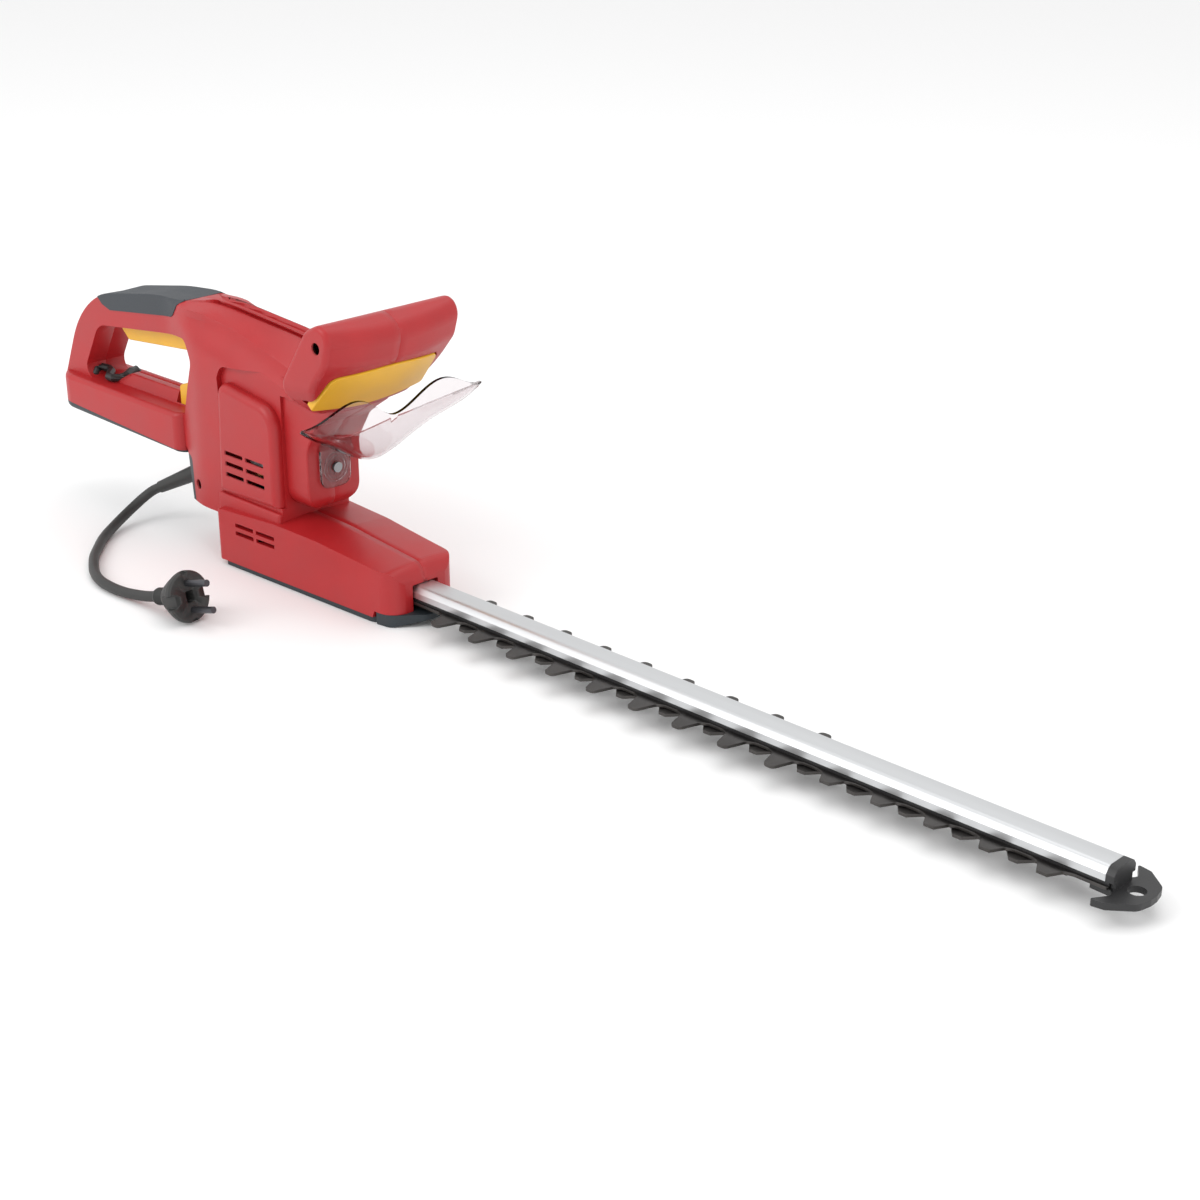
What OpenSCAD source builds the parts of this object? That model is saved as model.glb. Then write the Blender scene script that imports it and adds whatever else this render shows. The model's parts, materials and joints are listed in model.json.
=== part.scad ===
// Corded hedge trimmer with a reciprocating cutter on a toothed comb.
// Millimetres. The origin is on the flat underside, below the motor shaft.
// +X points along the blade, +Y to the user's left, +Z up.

/* [Blade] */
// Number of comb teeth on each side
comb_teeth = 14; // [8:1:16]
// How many of the comb teeth, counted from the gearbox, are long and round
long_teeth = 9; // [4:1:12]
// Distance from one comb tooth to the next
pitch = 36; // [30:1:44]
// Distance of the first comb tooth from the motor shaft
first_tooth = 190; // [185:1:220]
// Reach of the long teeth from the blade's centre line
long_reach = 27.5; // [24:0.5:33]
// Reach of the short teeth near the tip
short_reach = 21; // [18:0.5:25]
// Reach of the cutter's teeth
cutter_reach = 16.5; // [14:0.5:18]
// Thickness of the comb and of the cutter
blade_t = 2; // [1.5:0.1:2.5]
// Height of the comb's lower face above the underside
comb_z = 14; // [12:0.5:16]
// Stroke of the cutter from one end to the other
stroke = 20; // [14:1:24]
// Width of the aluminium guide rail
rail_w = 21; // [16:0.5:25]
// Height of the guide rail
rail_h = 8.5; // [6:0.5:10]

/* [Housing] */
// Wall thickness of the moulded shells
wall = 2.6; // [2:0.1:3.1]
// Width of the motor tower
tower_w = 58; // [52:1:70]
// Width of the gearbox at its rear
gearbox_w = 74; // [68:1:90]
// Width of the gearbox at its front
nose_w = 60; // [54:1:72]
// Width of the rear grip
grip_w = 34; // [28:1:40]
// Width of the lower beam of the rear handle
beam_w = 52; // [44:1:56]
// Thickness of the base plate
base_t = 4; // [3:0.5:5]

/* [Front handle] */
// Width of the front handle
paddle_w = 114; // [100:1:140]
// Width of the column that carries the front handle
column_w = 46; // [40:1:52]
// Length of the front switch bar
bar_l = 100; // [80:1:110]
// Height of the front switch bar at its middle
bar_h = 34; // [28:1:36]
// Travel of the front switch bar
bar_travel = 4; // [2:0.5:5]
// Width of the clear guard from tip to tip
guard_w = 158; // [130:1:190]
// Thickness of the clear guard
guard_t = 2.4; // [2:0.2:4]

/* [Drive] */
// Radius of the motor shaft
shaft_r = 3; // [2.5:0.5:4]
// Outer radius of the motor's stator
stator_r = 24; // [20:0.5:25]
// Air gap between the armature and the stator
air_gap = 0.7; // [0.4:0.1:1]
// Number of teeth on the pinion
pinion_teeth = 10; // [9:1:12]
// Number of teeth on the spur gear
gear_teeth = 50; // [44:1:52]
// Gear module
gear_module = 1; // [0.8:0.05:1.05]
// Radius of the eccentric pin
pin_r = 5; // [4:0.5:6]
// Outer radius of the ball bearings
bearing_r = 9.5; // [8:0.5:11]

/* [Cord] */
// Diameter of the power cord
cord_d = 7.5; // [6:0.5:9]

/* [Lock] */
// Length of the safety slider
lock_l = 19; // [14:0.5:22]
// Width of the safety slider
lock_w = 18; // [10:0.5:22]
// Travel of the safety slider
lock_travel = 4; // [2:0.5:6]

/* [Clearances] */
// Gap around a part that slides or swings
run_gap = 0.4; // [0.3:0.05:0.6]
// Radial gap of a shaft in its bearing
shaft_gap = 0.05; // [0.02:0.01:0.09]
// Radial gap of a pressed or screwed part in its seat
seat_gap = 0.02; // [0.01:0.01:0.05]

/* [Hidden] */
$fn = 48;

red = [0.80, 0.11, 0.12];
dark = [0.24, 0.27, 0.29];
yellow = [0.95, 0.72, 0.10];
steel = [0.72, 0.73, 0.74];
black = [0.08, 0.08, 0.09];
copper = [0.72, 0.42, 0.22];
clear = [0.85, 0.80, 0.80, 0.4];
far = 400;

// Heights of the blade's layers
cutter_z = comb_z - run_gap - blade_t;
spacer_z = comb_z + blade_t;
spacer_t = 2.5;
rail_z = spacer_z + spacer_t;
rail_top = rail_z + rail_h;
// The moving cutter's teeth stand a little behind the middle of each gap
cutter_lead = 0.43 * pitch;
last_tooth = first_tooth + (comb_teeth - 1) * pitch;
rail_end = last_tooth + 33;
rail_start = 78;
spine_w = rail_w + 1;
cutter_spine_w = rail_w - 3;
blade_screw_r = 2.5;
blade_screw_x = [for (i = [0:4]) first_tooth + (0.5 + i * (comb_teeth - 2) / 4) * pitch];
slot_half = stroke / 2 + blade_screw_r + run_gap;

beam_top = 98;
rib_top = 107;

// Side outlines, each corner as [x, z, radius]
handle_outline = [[-253, 68, 7], [-256, 90, 14], [-228, 146, 40], [-198, 168, 50],
    [-120, 182, 90], [-50, 184, 40], [-50, 68, 0]];
opening_outline = [[-230, beam_top, 6], [-201, 143, 16], [-75, 158, 8],
    [-66, 143, 8], [-88, beam_top, 5]];
rib_outline = [[-186, beam_top - 1, 0], [-98, beam_top - 1, 0], [-98, rib_top, 0],
    [-168, rib_top, 0]];
tower_outline = [[-82, 35, 4], [34, 35, 0], [34, 141, 0], [86, 141, 0], [84, 168, 0],
    [40, 177, 30], [-52, 184, 30], [-72, 176, 8], [-68, 143, 6], [-86, 104, 4],
    [-86, 62, 6]];
window_outline = [[-30, 58, 4], [24, 58, 4], [24, 124, 8], [-30, 130, 8]];
rib_section = [[1, beam_top - 1, 0], [1, rib_top, 0], [-6, rib_top, 1.5],
    [-12, beam_top - 1, 0]];
gearbox_outline = [[-37, base_t, 4], [-37, 45, 5], [30, 49, 10], [74, 47.5, 20],
    [148, 40, 8], [151, 30, 6], [151, 9, 0], [132, 9, 0], [130, base_t, 0]];
tower_section = [[3, 35], [3, 186], [-4, 185], [-tower_w / 2 + 9, 172],
    [-tower_w / 2, 146], [-tower_w / 2, 35]];
gearbox_plan = [[-37, -gearbox_w / 2, 7], [138, -nose_w / 2, 9], [151, -nose_w / 2 + 12, 8],
    [151, 3, 0], [-37, 3, 0]];
paddle_outline = [[84, 138, 6], [97, 141, 5], [132, 182, 8], [137, 202, 9],
    [120, 211, 8], [105, 205, 10], [73, 159, 12]];

// Front switch bar: its face lies on the slope of the paddle's front
face_a = [97, 141];
face_b = [132, 182];
face_mid = (face_a + face_b) / 2;
face_tilt = atan2(face_b[1] - face_a[1], face_b[0] - face_a[0]);
bar_deep = 6;
bar_proud = 2;
bar_r_top = (bar_l * bar_l / 4 + bar_h * bar_h / 4) / bar_h;

// Motor and gears
gear_x = gear_module * (pinion_teeth + gear_teeth) / 2;
core_r = 15;
stator_bore = core_r + air_gap;
stator_z = 80;
stator_h = 38;
lower_bearing_z = 38;
upper_bearing_z = 146;
bearing_h = 6;
plate_t = 5;
gear_z = 27;
gear_h = 7;
gear_shaft_r = 5;
yoke_z = cutter_z + blade_t;
yoke_t = 5;
pin_z = yoke_z + yoke_t + run_gap;
pinion_top = gear_z + gear_h + 1;

lock_x = -101;

// Screws that join two halves: [x, z, half width there, side of the head]
shell_screws = [[-240, 100, grip_w / 2, 1], [-60, 167, tower_w / 2 - 5, 1],
    [24, 152, tower_w / 2 - 2, 1], [-27, 24, gearbox_w / 2 - 3, 1],
    [138, 34, nose_w / 2 - 6, 1], [-68, 50, tower_w / 2, -1]];
handle_screw_points = [[118, 195, paddle_w / 2, -1], [84, 158, paddle_w / 2 - 4, 1],
    [42, 70, column_w / 2, 1]];
screw_r = 1.8;
screw_head_r = 3.5;
boss_r = 4.6;
head_depth = 8;
thread_skin = 4;
thread_depth = 5;

// Route of the power cord from the strain relief to the plug
cord_exit = [-84, 0, 55];
relief_end = [-136, -16, 28];
cord_points = [[-136, -16, 28], [-143, -18.5, 24], [-148, -23, 19], [-150, -31, 13.5],
    [-148, -42, 9], [-142, -56, 5.5], [-131, -72, 4], [-114, -89, 4], [-101, -100.5, 4],
    [-88, -109.5, 4], [-75, -117, 4], [-60, -122.5, 4], [-44, -124.5, 4.2],
    [-28, -124, 4.6], [-14, -122.5, 6], [-2, -121, 8], [8, -119.5, 10.5]];
plug_pos = [8, -119.5, 10.5];
plug_turn = 7;
plug_lift = 14;
plug_flange_r = 18;
plug_body_l = 36;
pin_spacing = 19;

// Unit vector of v
function unit(v) = v / norm(v);

// Points of the arc that rounds corner b between a and c
function corner(a, b, c) =
    let (r = b[2] == undef ? 0 : b[2], p = [b[0], b[1]])
    r <= 0 ? [p] :
    let (n = r < 1 ? 2 : r < 4 ? 4 : r < 20 ? 6 : 10,
        u = unit([a[0], a[1]] - p), v = unit([c[0], c[1]] - p),
        half = acos(max(-1, min(1, u * v))) / 2,
        reach = r / tan(half),
        centre = p + unit(u + v) * r / sin(half),
        start = p + u * reach - centre,
        stop = p + v * reach - centre,
        a0 = atan2(start[1], start[0]),
        turn = atan2(start[0] * stop[1] - start[1] * stop[0], start * stop))
    [for (i = [0:n]) centre + r * [cos(a0 + turn * i / n), sin(a0 + turn * i / n)]];

// Outline with every corner rounded by its own radius
function rounded(p) = [for (i = [0:len(p) - 1])
    each corner(p[(i + len(p) - 1) % len(p)], p[i], p[(i + 1) % len(p)])];

// Left normal of the edge from a to b
function edge_normal(a, b) = unit([a[1] - b[1], b[0] - a[0]]);

// Twice the signed area of an outline
function area2(p) = [for (i = 0, s = 0; i <= len(p); s = s + (i < len(p)
    ? p[i][0] * p[(i + 1) % len(p)][1] - p[(i + 1) % len(p)][0] * p[i][1] : 0),
    i = i + 1) s][len(p)];

// Outline moved inwards by w, corner by corner
function inset(p, w) = let (n = len(p), side = area2(p) > 0 ? 1 : -1)
    [for (i = [0:n - 1]) let (a = p[(i + n - 1) % n], b = p[i], c = p[(i + 1) % n],
        m = side * edge_normal(a, b), k = side * edge_normal(b, c),
        q = [b[0], b[1]] + w * (m + k) / (1 + m * k))
        [q[0], q[1], b[2] == undef ? 0 : max(b[2] - w, 0)]];

// Outline in X and Z, given thickness from y = 0 towards -Y
module side_slab(outline, width) {
    rotate([90, 0, 0]) linear_extrude(width) polygon(rounded(outline));
}

// Outline in Y and Z, drawn along +X from x0
module cross_slab(outline, x0, length) {
    translate([x0, 0, 0]) rotate([90, 0, 90]) linear_extrude(length) polygon(rounded(outline));
}

// Cylinder along +Y from y0
module bar_y(x, z, y0, length, r) {
    translate([x, y0, z]) rotate([-90, 0, 0]) cylinder(h = length, r = r);
}

// Ring around the Z axis
module ring(outer, inner, z0, height) {
    translate([0, 0, z0]) difference() {
        cylinder(h = height, r = outer);
        translate([0, 0, -1]) cylinder(h = height + 2, r = inner);
    }
}

// Box centred on X and Y
module block(size, at) {
    translate([at[0] - size[0] / 2, at[1] - size[1] / 2, at[2]]) cube(size);
}

// Places its children in the tilted frame of the switch bar:
// X along the face, Y across the handle, Z outwards
module on_face() {
    translate([face_mid[0], 0, face_mid[1]]) rotate([0, -face_tilt, 0])
        mirror([0, 0, 1]) children();
}

// Lens-shaped outline of the switch bar, grown by g
module bar_shape(g) {
    intersection() {
        translate([bar_r_top - bar_h / 2, 0]) circle(r = bar_r_top + g, $fn = 96);
        translate([bar_h / 2 - bar_r_top, 0]) circle(r = bar_r_top + g, $fn = 96);
        square([bar_h + 2 * g, bar_l - 8 + 2 * g], center = true);
    }
}

// ---- Housing -------------------------------------------------------------

// Solid of the tower's right half, moved inwards by t
module tower_solid(t) {
    intersection() {
        side_slab(inset(tower_outline, t), tower_w / 2);
        cross_slab(inset(tower_section, t), -100, 200);
    }
}

// Solid of the gearbox's right half, moved inwards by t
module gearbox_solid(t) {
    intersection() {
        side_slab(inset(gearbox_outline, t), gearbox_w / 2);
        translate([0, 0, -1]) linear_extrude(80)
            polygon(rounded(inset([gearbox_plan[0], gearbox_plan[1], gearbox_plan[2],
                [151, 3, 0], [-37, 3, 0]], t)));
    }
}

// Lower beam of the rear handle with a round end, right half
module beam_solid(t) {
    intersection() {
        side_slab(inset([[-256, 73, 4], [-86, 67, 0], [-80, 67, 0], [-80, beam_top, 0],
            [-256, beam_top, 6]], t), beam_w / 2);
        linear_extrude(200) polygon(rounded(inset([[-254, t, 0], [-254, -beam_w / 2, 22],
            [-78, -beam_w / 2, 0], [-78, t, 0]], t)));
    }
}

module housing_shell() {
    ledge_w = tower_w + 5;
    difference() {
        union() {
            side_slab(handle_outline, grip_w / 2);
            tower_solid(0);
            gearbox_solid(0);
            beam_solid(0);
            // Raised rib along the beam under the hand
            intersection() {
                side_slab(rib_outline, 20);
                cross_slab(rib_section, -210, 120);
            }
            // Ledge at the tower's foot
            translate([-38, -ledge_w / 2, 46]) cube([70, ledge_w / 2, 7]);
        }
        // Hollow inside
        difference() {
            union() {
                tower_cavity();
                gearbox_cavity();
                beam_cavity();
                grip_cavity();
            }
            for (s = shell_screws) bar_y(s[0], s[1], -s[2], s[2] + 1, boss_r);
        }
        // Hand opening
        translate([0, 1, 0]) side_slab(opening_outline, far);
        translate([0, 1, 0]) cover_window();
        // Room for the base plate, the blade and the trims
        translate([rail_start - 10, -spine_w / 2 - run_gap, 5])
            cube([far, spine_w, rail_top + run_gap - 5]);
        trim_room();
        pad_solid(0.05);
        lock_slot();
        trigger_slot();
        bar_y(trigger_pin[0], trigger_pin[1], 0.1 + wall - grip_w / 2, far, pivot_r + seat_gap);
        paddle_solid(-seat_gap);
        column_solid(-seat_gap);
        gearbox_vents();
        relief_hole();
    }
}

module tower_cavity() {
    intersection() {
        tower_solid(wall);
        translate([-79, -far, 38]) cube([79 + 34 - wall, far + 1, 128]);
    }
}

module gearbox_cavity() {
    gearbox_solid(wall);
    translate([-37 + wall, -gearbox_w / 2 + wall + 3, 1])
        cube([160, gearbox_w / 2 - wall - 2, base_t + wall]);
    translate([-30, -22, 30]) cube([60, 23, 30]);
}

module beam_cavity() {
    beam_solid(wall);
}

// Hollow of the grip, where the trigger and its switch sit
module grip_cavity() {
    translate([0, 1, 0]) side_slab([[-188, 148, 0], [-76, 160, 0], [-76, 176, 2],
        [-120, 175, 2], [-182, 164, 2]], grip_w / 2 - wall + 1);
}

// Window behind the vented side cover
module cover_window() {
    side_slab(window_outline, far);
}

// Strip of dark trim along the beam's underside and the tower's rear edge
module trim_room() {
    trim_solid(0.1);
}

module trim_solid(g) {
    translate([0, 1 + g, 0]) side_slab([[-250 - g, 66, 0], [-86, 58, 6],
        [-86 - g, 35 - g, 0], [-76 + g, 35 - g, 0], [-78 + g, 69 + g, 6],
        [-240, 77 + g, 0], [-262, 79 + g, 0], [-262, 66, 0]], far);
}

module lock_slot() {
    block([lock_l + lock_travel + 2 * run_gap, lock_w + 2 * run_gap, 20],
        [lock_x - lock_travel / 2, 0, beam_top - 5]);
}

// Slot under the grip through which the trigger hangs
module trigger_slot() {
    block([112, 2 * (7 + run_gap), 30], [-134, 0, 130]);
}

module gearbox_vents() {
    for (row = [0:1], col = [0:1])
        translate([-14 + col * 23, -gearbox_w / 2 - 1, 33 - row * 6]) cube([20, 8, 3]);
}

module relief_hole() {
    translate(cord_exit) rotate([0, 0, 17]) rotate([0, -117, 0])
        translate([0, 0, -8]) cylinder(h = 40, r = 7);
}

// Holes in one half for its screws: a wide one for a head, else a blind thread
module screw_holes(points, half) {
    for (s = points) {
        skin = s[3] == half ? 1 : thread_skin;
        bar_y(s[0], s[1], skin - s[2], s[2] + 1, screw_r + seat_gap);
        if (s[3] == half)
            bar_y(s[0], s[1], head_depth - s[2] - far, far, screw_head_r + 0.4);
    }
}

// Screws along Y, each with its head on its own side
module screws_y(points) {
    for (s = points) mirror([0, s[3] > 0 ? 0 : 1, 0]) {
        bar_y(s[0], s[1], thread_depth - s[2], 2 * s[2] - thread_depth - head_depth, screw_r);
        bar_y(s[0], s[1], s[2] - head_depth, 2.5, screw_head_r);
    }
}

module housing_right() {
    color(red) difference() {
        housing_shell();
        screw_holes(shell_screws, -1);
        hook_sockets(-1);
    }
}

module housing_left() {
    color(red) mirror([0, 1, 0]) difference() {
        housing_shell();
        screw_holes(shell_screws, 1);
        hook_sockets(1);
    }
}

// Screws that hold the halves together
module housing_screws() {
    color(steel) screws_y(shell_screws);
}

// Vented side cover that stands proud of the tower's wall
module side_cover() {
    difference() {
        union() {
            translate([0, -tower_w / 2, 0])
                side_slab([[-36, 53.5, 3], [28, 53.5, 3], [28, 126, 10], [20, 133, 8],
                    [-28, 136, 10], [-36, 130, 8]], 3.4);
            translate([0, -tower_w / 2 + wall, 0])
                side_slab(inset(window_outline, run_gap), wall + 0.4);
        }
        for (row = [0:2], col = [0:1])
            translate([-25 + col * 23, -far, 68 + row * 8]) cube([20, far, 3.4]);
        translate([0, -tower_w / 2 + wall + 0.1, 0])
            side_slab(inset(window_outline, 3), wall + 0.4);
    }
}

module side_cover_right() {
    color(red) side_cover();
}

module side_cover_left() {
    color(red) mirror([0, 1, 0]) side_cover();
}

// Dark base plate with the nose under the blade
module base_plate() {
    color(dark) difference() {
        union() {
            linear_extrude(base_t - 0.1) polygon(rounded([[-31, -gearbox_w / 2 + 2, 4],
                [134, -nose_w / 2 + 0.5, 8], [134, nose_w / 2 - 0.5, 8],
                [-31, gearbox_w / 2 - 2, 4]]));
            intersection() {
                linear_extrude(8.9) polygon(rounded([[132.2, -nose_w / 2, 2],
                    [146, -nose_w / 2 + 2, 12], [163, -8, 9], [163, 8, 9],
                    [146, nose_w / 2 - 2, 12], [132.2, nose_w / 2, 2]]));
                translate([0, nose_w / 2, 0]) side_slab([[130, 0, 0], [146, 0, 8],
                    [163, 5, 0], [163, 9, 0], [130, 9, 0]], nose_w);
            }
        }
        for (p = base_screw_points) translate([p[0], p[1], -1])
            cylinder(h = 12, r = screw_r + seat_gap);
        for (p = base_screw_points) translate([p[0], p[1], -1]) cylinder(h = 3, r = 3.6);
    }
}

base_screw_points = [[-20, 24], [-20, -24], [112, 22], [112, -22]];

module base_screws() {
    color(steel) for (p = base_screw_points) {
        translate([p[0], p[1], 0.5]) cylinder(h = 11, r = screw_r);
        translate([p[0], p[1], 0.5]) cylinder(h = 1.4, r = 3.2);
    }
}

// Dark trim along the beam's underside and the tower's rear edge
module rear_trim() {
    color(dark) difference() {
        union() {
            trim_half();
            mirror([0, 1, 0]) trim_half();
        }
        relief_hole();
    }
}

module trim_half() {
    intersection() {
        union() {
            beam_solid(0);
            tower_solid(0);
            side_slab(handle_outline, grip_w / 2);
        }
        trim_solid(0);
        translate([-far, -far, 0]) cube([far, far, 100]);
    }
}

pad_proud = 0.6;
pad_sunk = 1.2;
pad_outline = [[-173, 157, 4], [-92, 169, 3], [-66, 192, 0], [-230, 192, 0]];

// Soft pad on top of the rear grip; g opens its recess in the shells
module pad_solid(g) {
    w = grip_w / 2;
    difference() {
        intersection() {
            translate([0, w + pad_proud, 0]) side_slab(inset(handle_outline, -pad_proud),
                2 * (w + pad_proud));
            translate([0, far / 2, 0]) side_slab(inset(pad_outline, -g), far);
        }
        translate([0, w - pad_sunk - g, 0]) side_slab(inset(handle_outline, pad_sunk + g),
            2 * (w - pad_sunk - g));
    }
}

module grip_pad() {
    color(dark) pad_solid(0);
}

// ---- Front handle --------------------------------------------------------

// Right half of the paddle and its column, moved inwards by t
module paddle_solid(t) {
    intersection() {
        side_slab(inset(paddle_outline, t), paddle_w / 2 - t);
        cross_slab(inset([[t, 132], [-column_w / 2 - 6, 132], [-paddle_w / 2 + 6, 150],
            [-paddle_w / 2, 166], [-paddle_w / 2, 220], [t, 220]], t), 60, 90);
    }
}

module column_solid(t) {
    side_slab(inset([[34.2, 57, 0], [50, 57, 6], [57, 64, 8], [57, 104, 10],
        [72, 126, 10], [97, 141.2, 0], [84, 146, 0], [72, 140.8, 0], [34.2, 140.8, 0]], t),
        column_w / 2 - t);
}

module front_handle_half() {
    difference() {
        union() {
            paddle_solid(0);
            column_solid(0);
        }
        translate([0, 0.5, 0]) difference() {
            union() {
                paddle_solid(wall);
                translate([36, -column_w / 2 + wall, 64]) cube([12, column_w / 2, 72]);
                translate([70, -column_w / 2 + wall, 134]) cube([16, column_w / 2, 14]);
                translate([36, -column_w / 2 + wall, 128]) cube([36, column_w / 2, 8]);
            }
            for (p = handle_screw_points) bar_y(p[0], p[1], -p[2], p[2] + 1, boss_r);
            on_face() block([bar_h, bar_l, 2.5], [0, 0, -bar_deep - bar_travel - 8]);
        }
        on_face() translate([0, 0, -bar_deep - bar_travel - 1])
            linear_extrude(far) bar_shape(run_gap);
        translate([50, 0, 88]) rotate([0, 90, 0]) cylinder(h = 20, r = screw_r + seat_gap);
    }
}

module front_handle_right() {
    color(red) difference() {
        front_handle_half();
        screw_holes(handle_screw_points, -1);
    }
}

module front_handle_left() {
    color(red) mirror([0, 1, 0]) difference() {
        front_handle_half();
        screw_holes(handle_screw_points, 1);
    }
}

module handle_screws() {
    color(steel) screws_y(handle_screw_points);
}

// Yellow bar under the fingers of the front hand
module switch_bar() {
    color(yellow) on_face() translate([0, 0, -bar_deep])
        linear_extrude(bar_deep + bar_proud) bar_shape(0);
}

// Springs that push the bar out again
module bar_springs() {
    color(steel) for (s = [-1, 1]) on_face() translate([0, s * bar_l / 4, 0])
        ring(3, 2.2, 0.1 - bar_deep - bar_travel - 5.5, bar_travel + 5.3);
}

// Point on the guard: u runs from -1 to 1 across it, v from 0 at the rear edge
// to 1 at the front rim
function guard_rear(u) = [60 + 66 * pow(abs(u), 1.3), guard_w / 2 * u,
    105 + 42 * pow(abs(u), 1.2)];
function guard_rim(u) = [125 + 6 * sin(180 * min(1, abs(u))), guard_w / 2 * u,
    141 + 15 * pow(sin(180 * pow(abs(u), 0.9)), 2) + 6 * abs(u)];
function guard_point(u, v) = let (a = guard_rear(u), b = guard_rim(u),
    sag = (1 - u * u)) a * (1 - v) + b * v
    + [12 * sag * sin(180 * v), 0, -17 * sag * sin(180 * v)];

// Clear guard in front of the fingers
module hand_guard() {
    nu = 24;
    nv = 8;
    rows = [for (i = [0:nu]) (2 * i / nu - 1) * 0.985];
    top = [for (u = rows, j = [0:nv]) guard_point(u, j / nv)];
    low = [for (p = top) p - [0, 0, guard_t]];
    n = len(top);
    w = nv + 1;
    sheet = [for (i = [0:nu - 1], j = [0:nv - 1]) [i * w + j, (i + 1) * w + j,
        (i + 1) * w + j + 1, i * w + j + 1]];
    under = [for (q = sheet) [n + q[3], n + q[2], n + q[1], n + q[0]]];
    ends = [for (j = [0:nv - 1]) each [[j, j + 1, n + j + 1, n + j],
        [nu * w + j + 1, nu * w + j, n + nu * w + j, n + nu * w + j + 1]]];
    rims = [for (i = [0:nu - 1]) each [[(i + 1) * w, i * w, n + i * w, n + (i + 1) * w],
        [i * w + nv, (i + 1) * w + nv, n + (i + 1) * w + nv, n + i * w + nv]]];
    color(clear) {
        polyhedron(points = concat(top, low), faces = concat(sheet, under, ends, rims));
        difference() {
            union() {
                translate([57.1, -13, 74]) cube([3.2, 26, 27]);
                translate([58.6, -13, 100]) cube([1.7, 26, 5.4]);
            }
            translate([50, 0, 88]) rotate([0, 90, 0]) cylinder(h = 20, r = 2.2);
        }
    }
}

module guard_screw() {
    color(steel) {
        translate([52, 0, 88]) rotate([0, 90, 0]) cylinder(h = 8.4, r = screw_r);
        translate([60.4, 0, 88]) rotate([0, 90, 0]) cylinder(h = 2, r = 3.6);
    }
}

// ---- Rear handle ---------------------------------------------------------

trigger_pin = [-86, 157];
pivot_r = 2;

// Long yellow trigger under the grip, hinged at its front end
module trigger() {
    color(yellow) difference() {
        translate([0, 7, 0]) side_slab([[-184, 141, 2], [-176, 134, 3], [-88, 142, 3],
            [-80, 152, 3], [-82, 161, 4], [-92, 161, 3], [-110, 156, 0], [-184, 147, 2]], 14);
        bar_y(trigger_pin[0], trigger_pin[1], -10, 20, pivot_r + shaft_gap);
    }
}

module trigger_pivot() {
    color(steel) bar_y(trigger_pin[0], trigger_pin[1], -grip_w / 2 + wall + 0.1,
        grip_w - 2 * wall - 0.2, pivot_r);
}

module trigger_spring() {
    color(steel) translate([-168, 0, 0]) ring(3.5, 2.7, 149.5, 16.2);
}

// Yellow safety slider in the foot of the tower
module lock_slider() {
    rear = lock_x - lock_l / 2;
    front = lock_x + lock_l / 2;
    color(yellow) translate([0, lock_w / 2, 0]) side_slab([[rear, beam_top - 2, 0],
        [front, beam_top - 2, 0], [front, 119, 3], [rear, 113, 3]], lock_w);
}

// Hook that takes the pull of an extension lead: an S lying on the beam
hook_r = 3;
hook_ends = [[-221, -11], [-200, 14]];
hook_points = [[-221, -11, 91], [-221, -11, 99.8], [-221.5, -9, 102], [-221, -4, 103],
    [-216, -1, 102], [-210, -3, 101.5], [-204, -9, 101.5], [-199, -13, 101.5],
    [-194, -13, 101.5], [-191, -8, 101.5], [-193, -1, 101.5], [-197, 6, 102.5],
    [-199.5, 12, 102], [-200, 14, 99.8], [-200, 14, 91]];

// Sockets in one half for the ends of the hook
module hook_sockets(half) {
    for (e = hook_ends)
        if (e[1] * half > 0) translate([e[0], -abs(e[1]), beam_top - 8])
            cylinder(h = 20, r = hook_r + 0.1);
}

module cord_hook() {
    color(black) tube(hook_points, hook_r, 10);
}

// Switch under the trigger
module rear_switch() {
    color(black) block([26, 12, 9], [-130, 0, 161]);
}

// Switch behind the front bar
module front_switch() {
    color(black) on_face() block([14, 22, 5], [0, 0, 0.1 - bar_deep - bar_travel - 5.5]);
}

// ---- Motor ---------------------------------------------------------------

module stator() {
    color(steel) ring(stator_r, stator_bore, stator_z, stator_h);
}

module field_coils() {
    color(copper) for (z = [stator_z - 8, stator_z + stator_h])
        ring(stator_r - 2, stator_bore + 1, z, 8);
}

module armature_core() {
    color(steel) ring(core_r, shaft_r + seat_gap, stator_z + 1, stator_h - 2);
}

module armature_shaft() {
    color(steel) translate([0, 0, gear_z - 1])
        cylinder(h = upper_bearing_z + bearing_h - gear_z, r = shaft_r);
}

module commutator() {
    color(copper) ring(8, shaft_r + seat_gap, stator_z + stator_h + 10, 12);
}

// Cooling fan with straight blades
module fan() {
    fan_z = stator_z - 22;
    color(black) {
        ring(7, shaft_r + seat_gap, fan_z, 10);
        ring(21, 6.9, fan_z, 1.6);
        for (a = [0:30:330]) rotate([0, 0, a])
            translate([6.8, -0.8, fan_z + 1.5]) cube([14, 1.6, 8.5]);
    }
}

// Spur gear with straight-flanked teeth
module toothed(count, thickness, bore) {
    tip = gear_module * count / 2 + 0.75 * gear_module;
    root = gear_module * count / 2 - 1.15 * gear_module;
    step = 360 / count;
    difference() {
        linear_extrude(thickness) polygon([for (i = [0:count - 1], k = [0:3])
            let (r = k == 0 || k == 3 ? root : tip,
                a = step * (i + [-0.27, -0.11, 0.11, 0.27][k]))
            r * [cos(a), sin(a)]]);
        translate([0, 0, -1]) cylinder(h = thickness + 2, r = bore);
    }
}

module pinion() {
    color(steel) translate([0, 0, gear_z - 0.5]) rotate([0, 0, 180 / pinion_teeth])
        toothed(pinion_teeth, gear_h + 1, shaft_r + seat_gap);
}

module bearing(z) {
    color(steel) ring(bearing_r, shaft_r + shaft_gap, z, bearing_h);
}

module upper_bearing() {
    bearing(upper_bearing_z);
}

module lower_bearing() {
    bearing(lower_bearing_z);
}

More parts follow.
